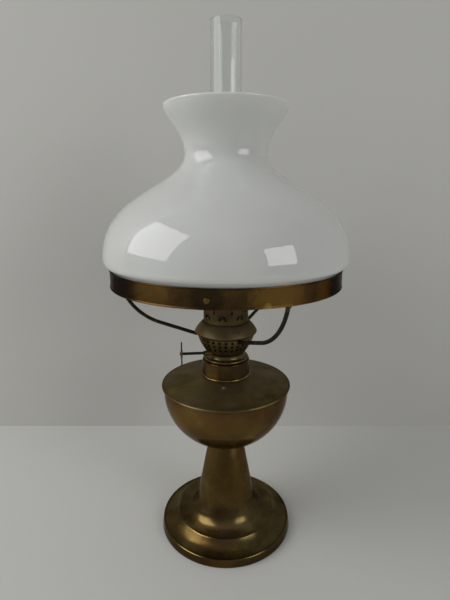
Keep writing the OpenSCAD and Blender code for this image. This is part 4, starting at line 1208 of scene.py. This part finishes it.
class LAMP_OT_stage(LampOperator, bpy.types.Operator):
    """Sets the floor, the backdrop, the lights and the camera"""
    bl_idname = "lamp.stage"
    bl_label = "Stage"

    def execute(self, context):
        s = context.scene.lamp_stage
        floor_half, wall_half, wall_middle = 3.0, 1.55, 1.5
        floor = self.plane("stage_floor", floor_half, Matrix.Identity(4), self.paint("Floor paint", s.floor))
        upright = Matrix.Translation((0, s.wall_place, wall_middle)) @ Matrix.Rotation(math.pi / 2, 4, "X")
        wall = self.plane("stage_wall", wall_half, upright, self.paint("Wall paint", s.wall, one_sided=True))
        self.window("window_left", (-1.57, -0.50, 1.27), wide=1.6, tall=1.5, power=21)
        self.window("window_right", (1.50, -1.34, 0.89), wide=1.0, tall=0.92, power=9)
        world = bpy.data.worlds.new("Room")
        world.use_nodes = True
        t = Tree(world.node_tree)
        light = t.add("ShaderNodeBackground", {"Color": s.room, "Strength": 1.0})
        t.add("ShaderNodeOutputWorld", {"Surface": light.outputs[0]})
        context.scene.world = world
        lens = bpy.data.cameras.new("photo_camera")
        lens.lens, lens.sensor_width, lens.sensor_fit = s.camera_lens, 36, "AUTO"
        lens.clip_start = 0.01
        camera = bpy.data.objects.new("photo_camera", lens)
        camera_left = 1 * MM
        camera.location = (-camera_left, -s.camera_back, s.camera_height)
        camera.rotation_euler = (math.pi / 2 - s.camera_down, 0, 0)
        context.scene.collection.objects.link(camera)
        context.scene.camera = camera
        context.scene.view_settings.view_transform = "Standard"
        return {"FINISHED"}

    def plane(self, name, half, matrix, paint):
        bm = bmesh.new()
        bmesh.ops.create_grid(bm, x_segments=2, y_segments=2, size=half)
        place(bm, matrix)
        return link(name, bm, paint)

    def paint(self, name, colour, one_sided=False):
        def wire(t, spot, c):
            clouds = t.noise(spot, 2.5, 2)
            return {"Base Color": t.mix(clouds, colour, shaded(colour, 0.97)), "Roughness": 0.7}
        return material(name, wire, one_sided)

    def window(self, name, where, wide, tall, power):
        lamp = bpy.data.lights.new(name, "AREA")
        lamp.shape, lamp.size, lamp.size_y, lamp.energy = "RECTANGLE", wide, tall, power
        made = bpy.data.objects.new(name, lamp)
        aim = Vector((0, 0, 0.33))
        made.location = where
        made.rotation_euler = (aim - Vector(where)).to_track_quat("-Z", "Y").to_euler()
        made.visible_camera = False
        bpy.context.scene.collection.objects.link(made)


OPERATORS = (LAMP_OT_foot, LAMP_OT_felt, LAMP_OT_font, LAMP_OT_collar, LAMP_OT_basket, LAMP_OT_gallery,
             LAMP_OT_raiser, LAMP_OT_wick, LAMP_OT_chimney, LAMP_OT_carrier, LAMP_OT_shade, LAMP_OT_hidden,
             LAMP_OT_stage)


class LAMP_PT_panel(bpy.types.Panel):
    """Lists the lamp's pieces, sizes and colours"""
    bl_idname = "LAMP_PT_panel"
    bl_label = "Kerosene table lamp"
    bl_space_type = "VIEW_3D"
    bl_region_type = "UI"
    bl_category = "Lamp"

    def draw(self, context):
        for made in OPERATORS:
            self.layout.operator(made.bl_idname)
        for key, kind in SETTINGS.items():
            box = self.layout.box()
            box.label(text=kind.__doc__)
            for name in kind.__annotations__:
                box.prop(getattr(context.scene, key), name)


def register():
    for made in (*SETTINGS.values(), *OPERATORS, LAMP_PT_panel):
        bpy.utils.register_class(made)
    for key, kind in SETTINGS.items():
        setattr(bpy.types.Scene, key, PointerProperty(type=kind))


def unregister():
    for key in SETTINGS:
        delattr(bpy.types.Scene, key)
    for made in reversed((*SETTINGS.values(), *OPERATORS, LAMP_PT_panel)):
        bpy.utils.unregister_class(made)


def main():
    register()
    for made in OPERATORS:
        group_name, piece = made.bl_idname.split(".")
        getattr(getattr(bpy.ops, group_name), piece)()


if __name__ == "__main__":
    main()
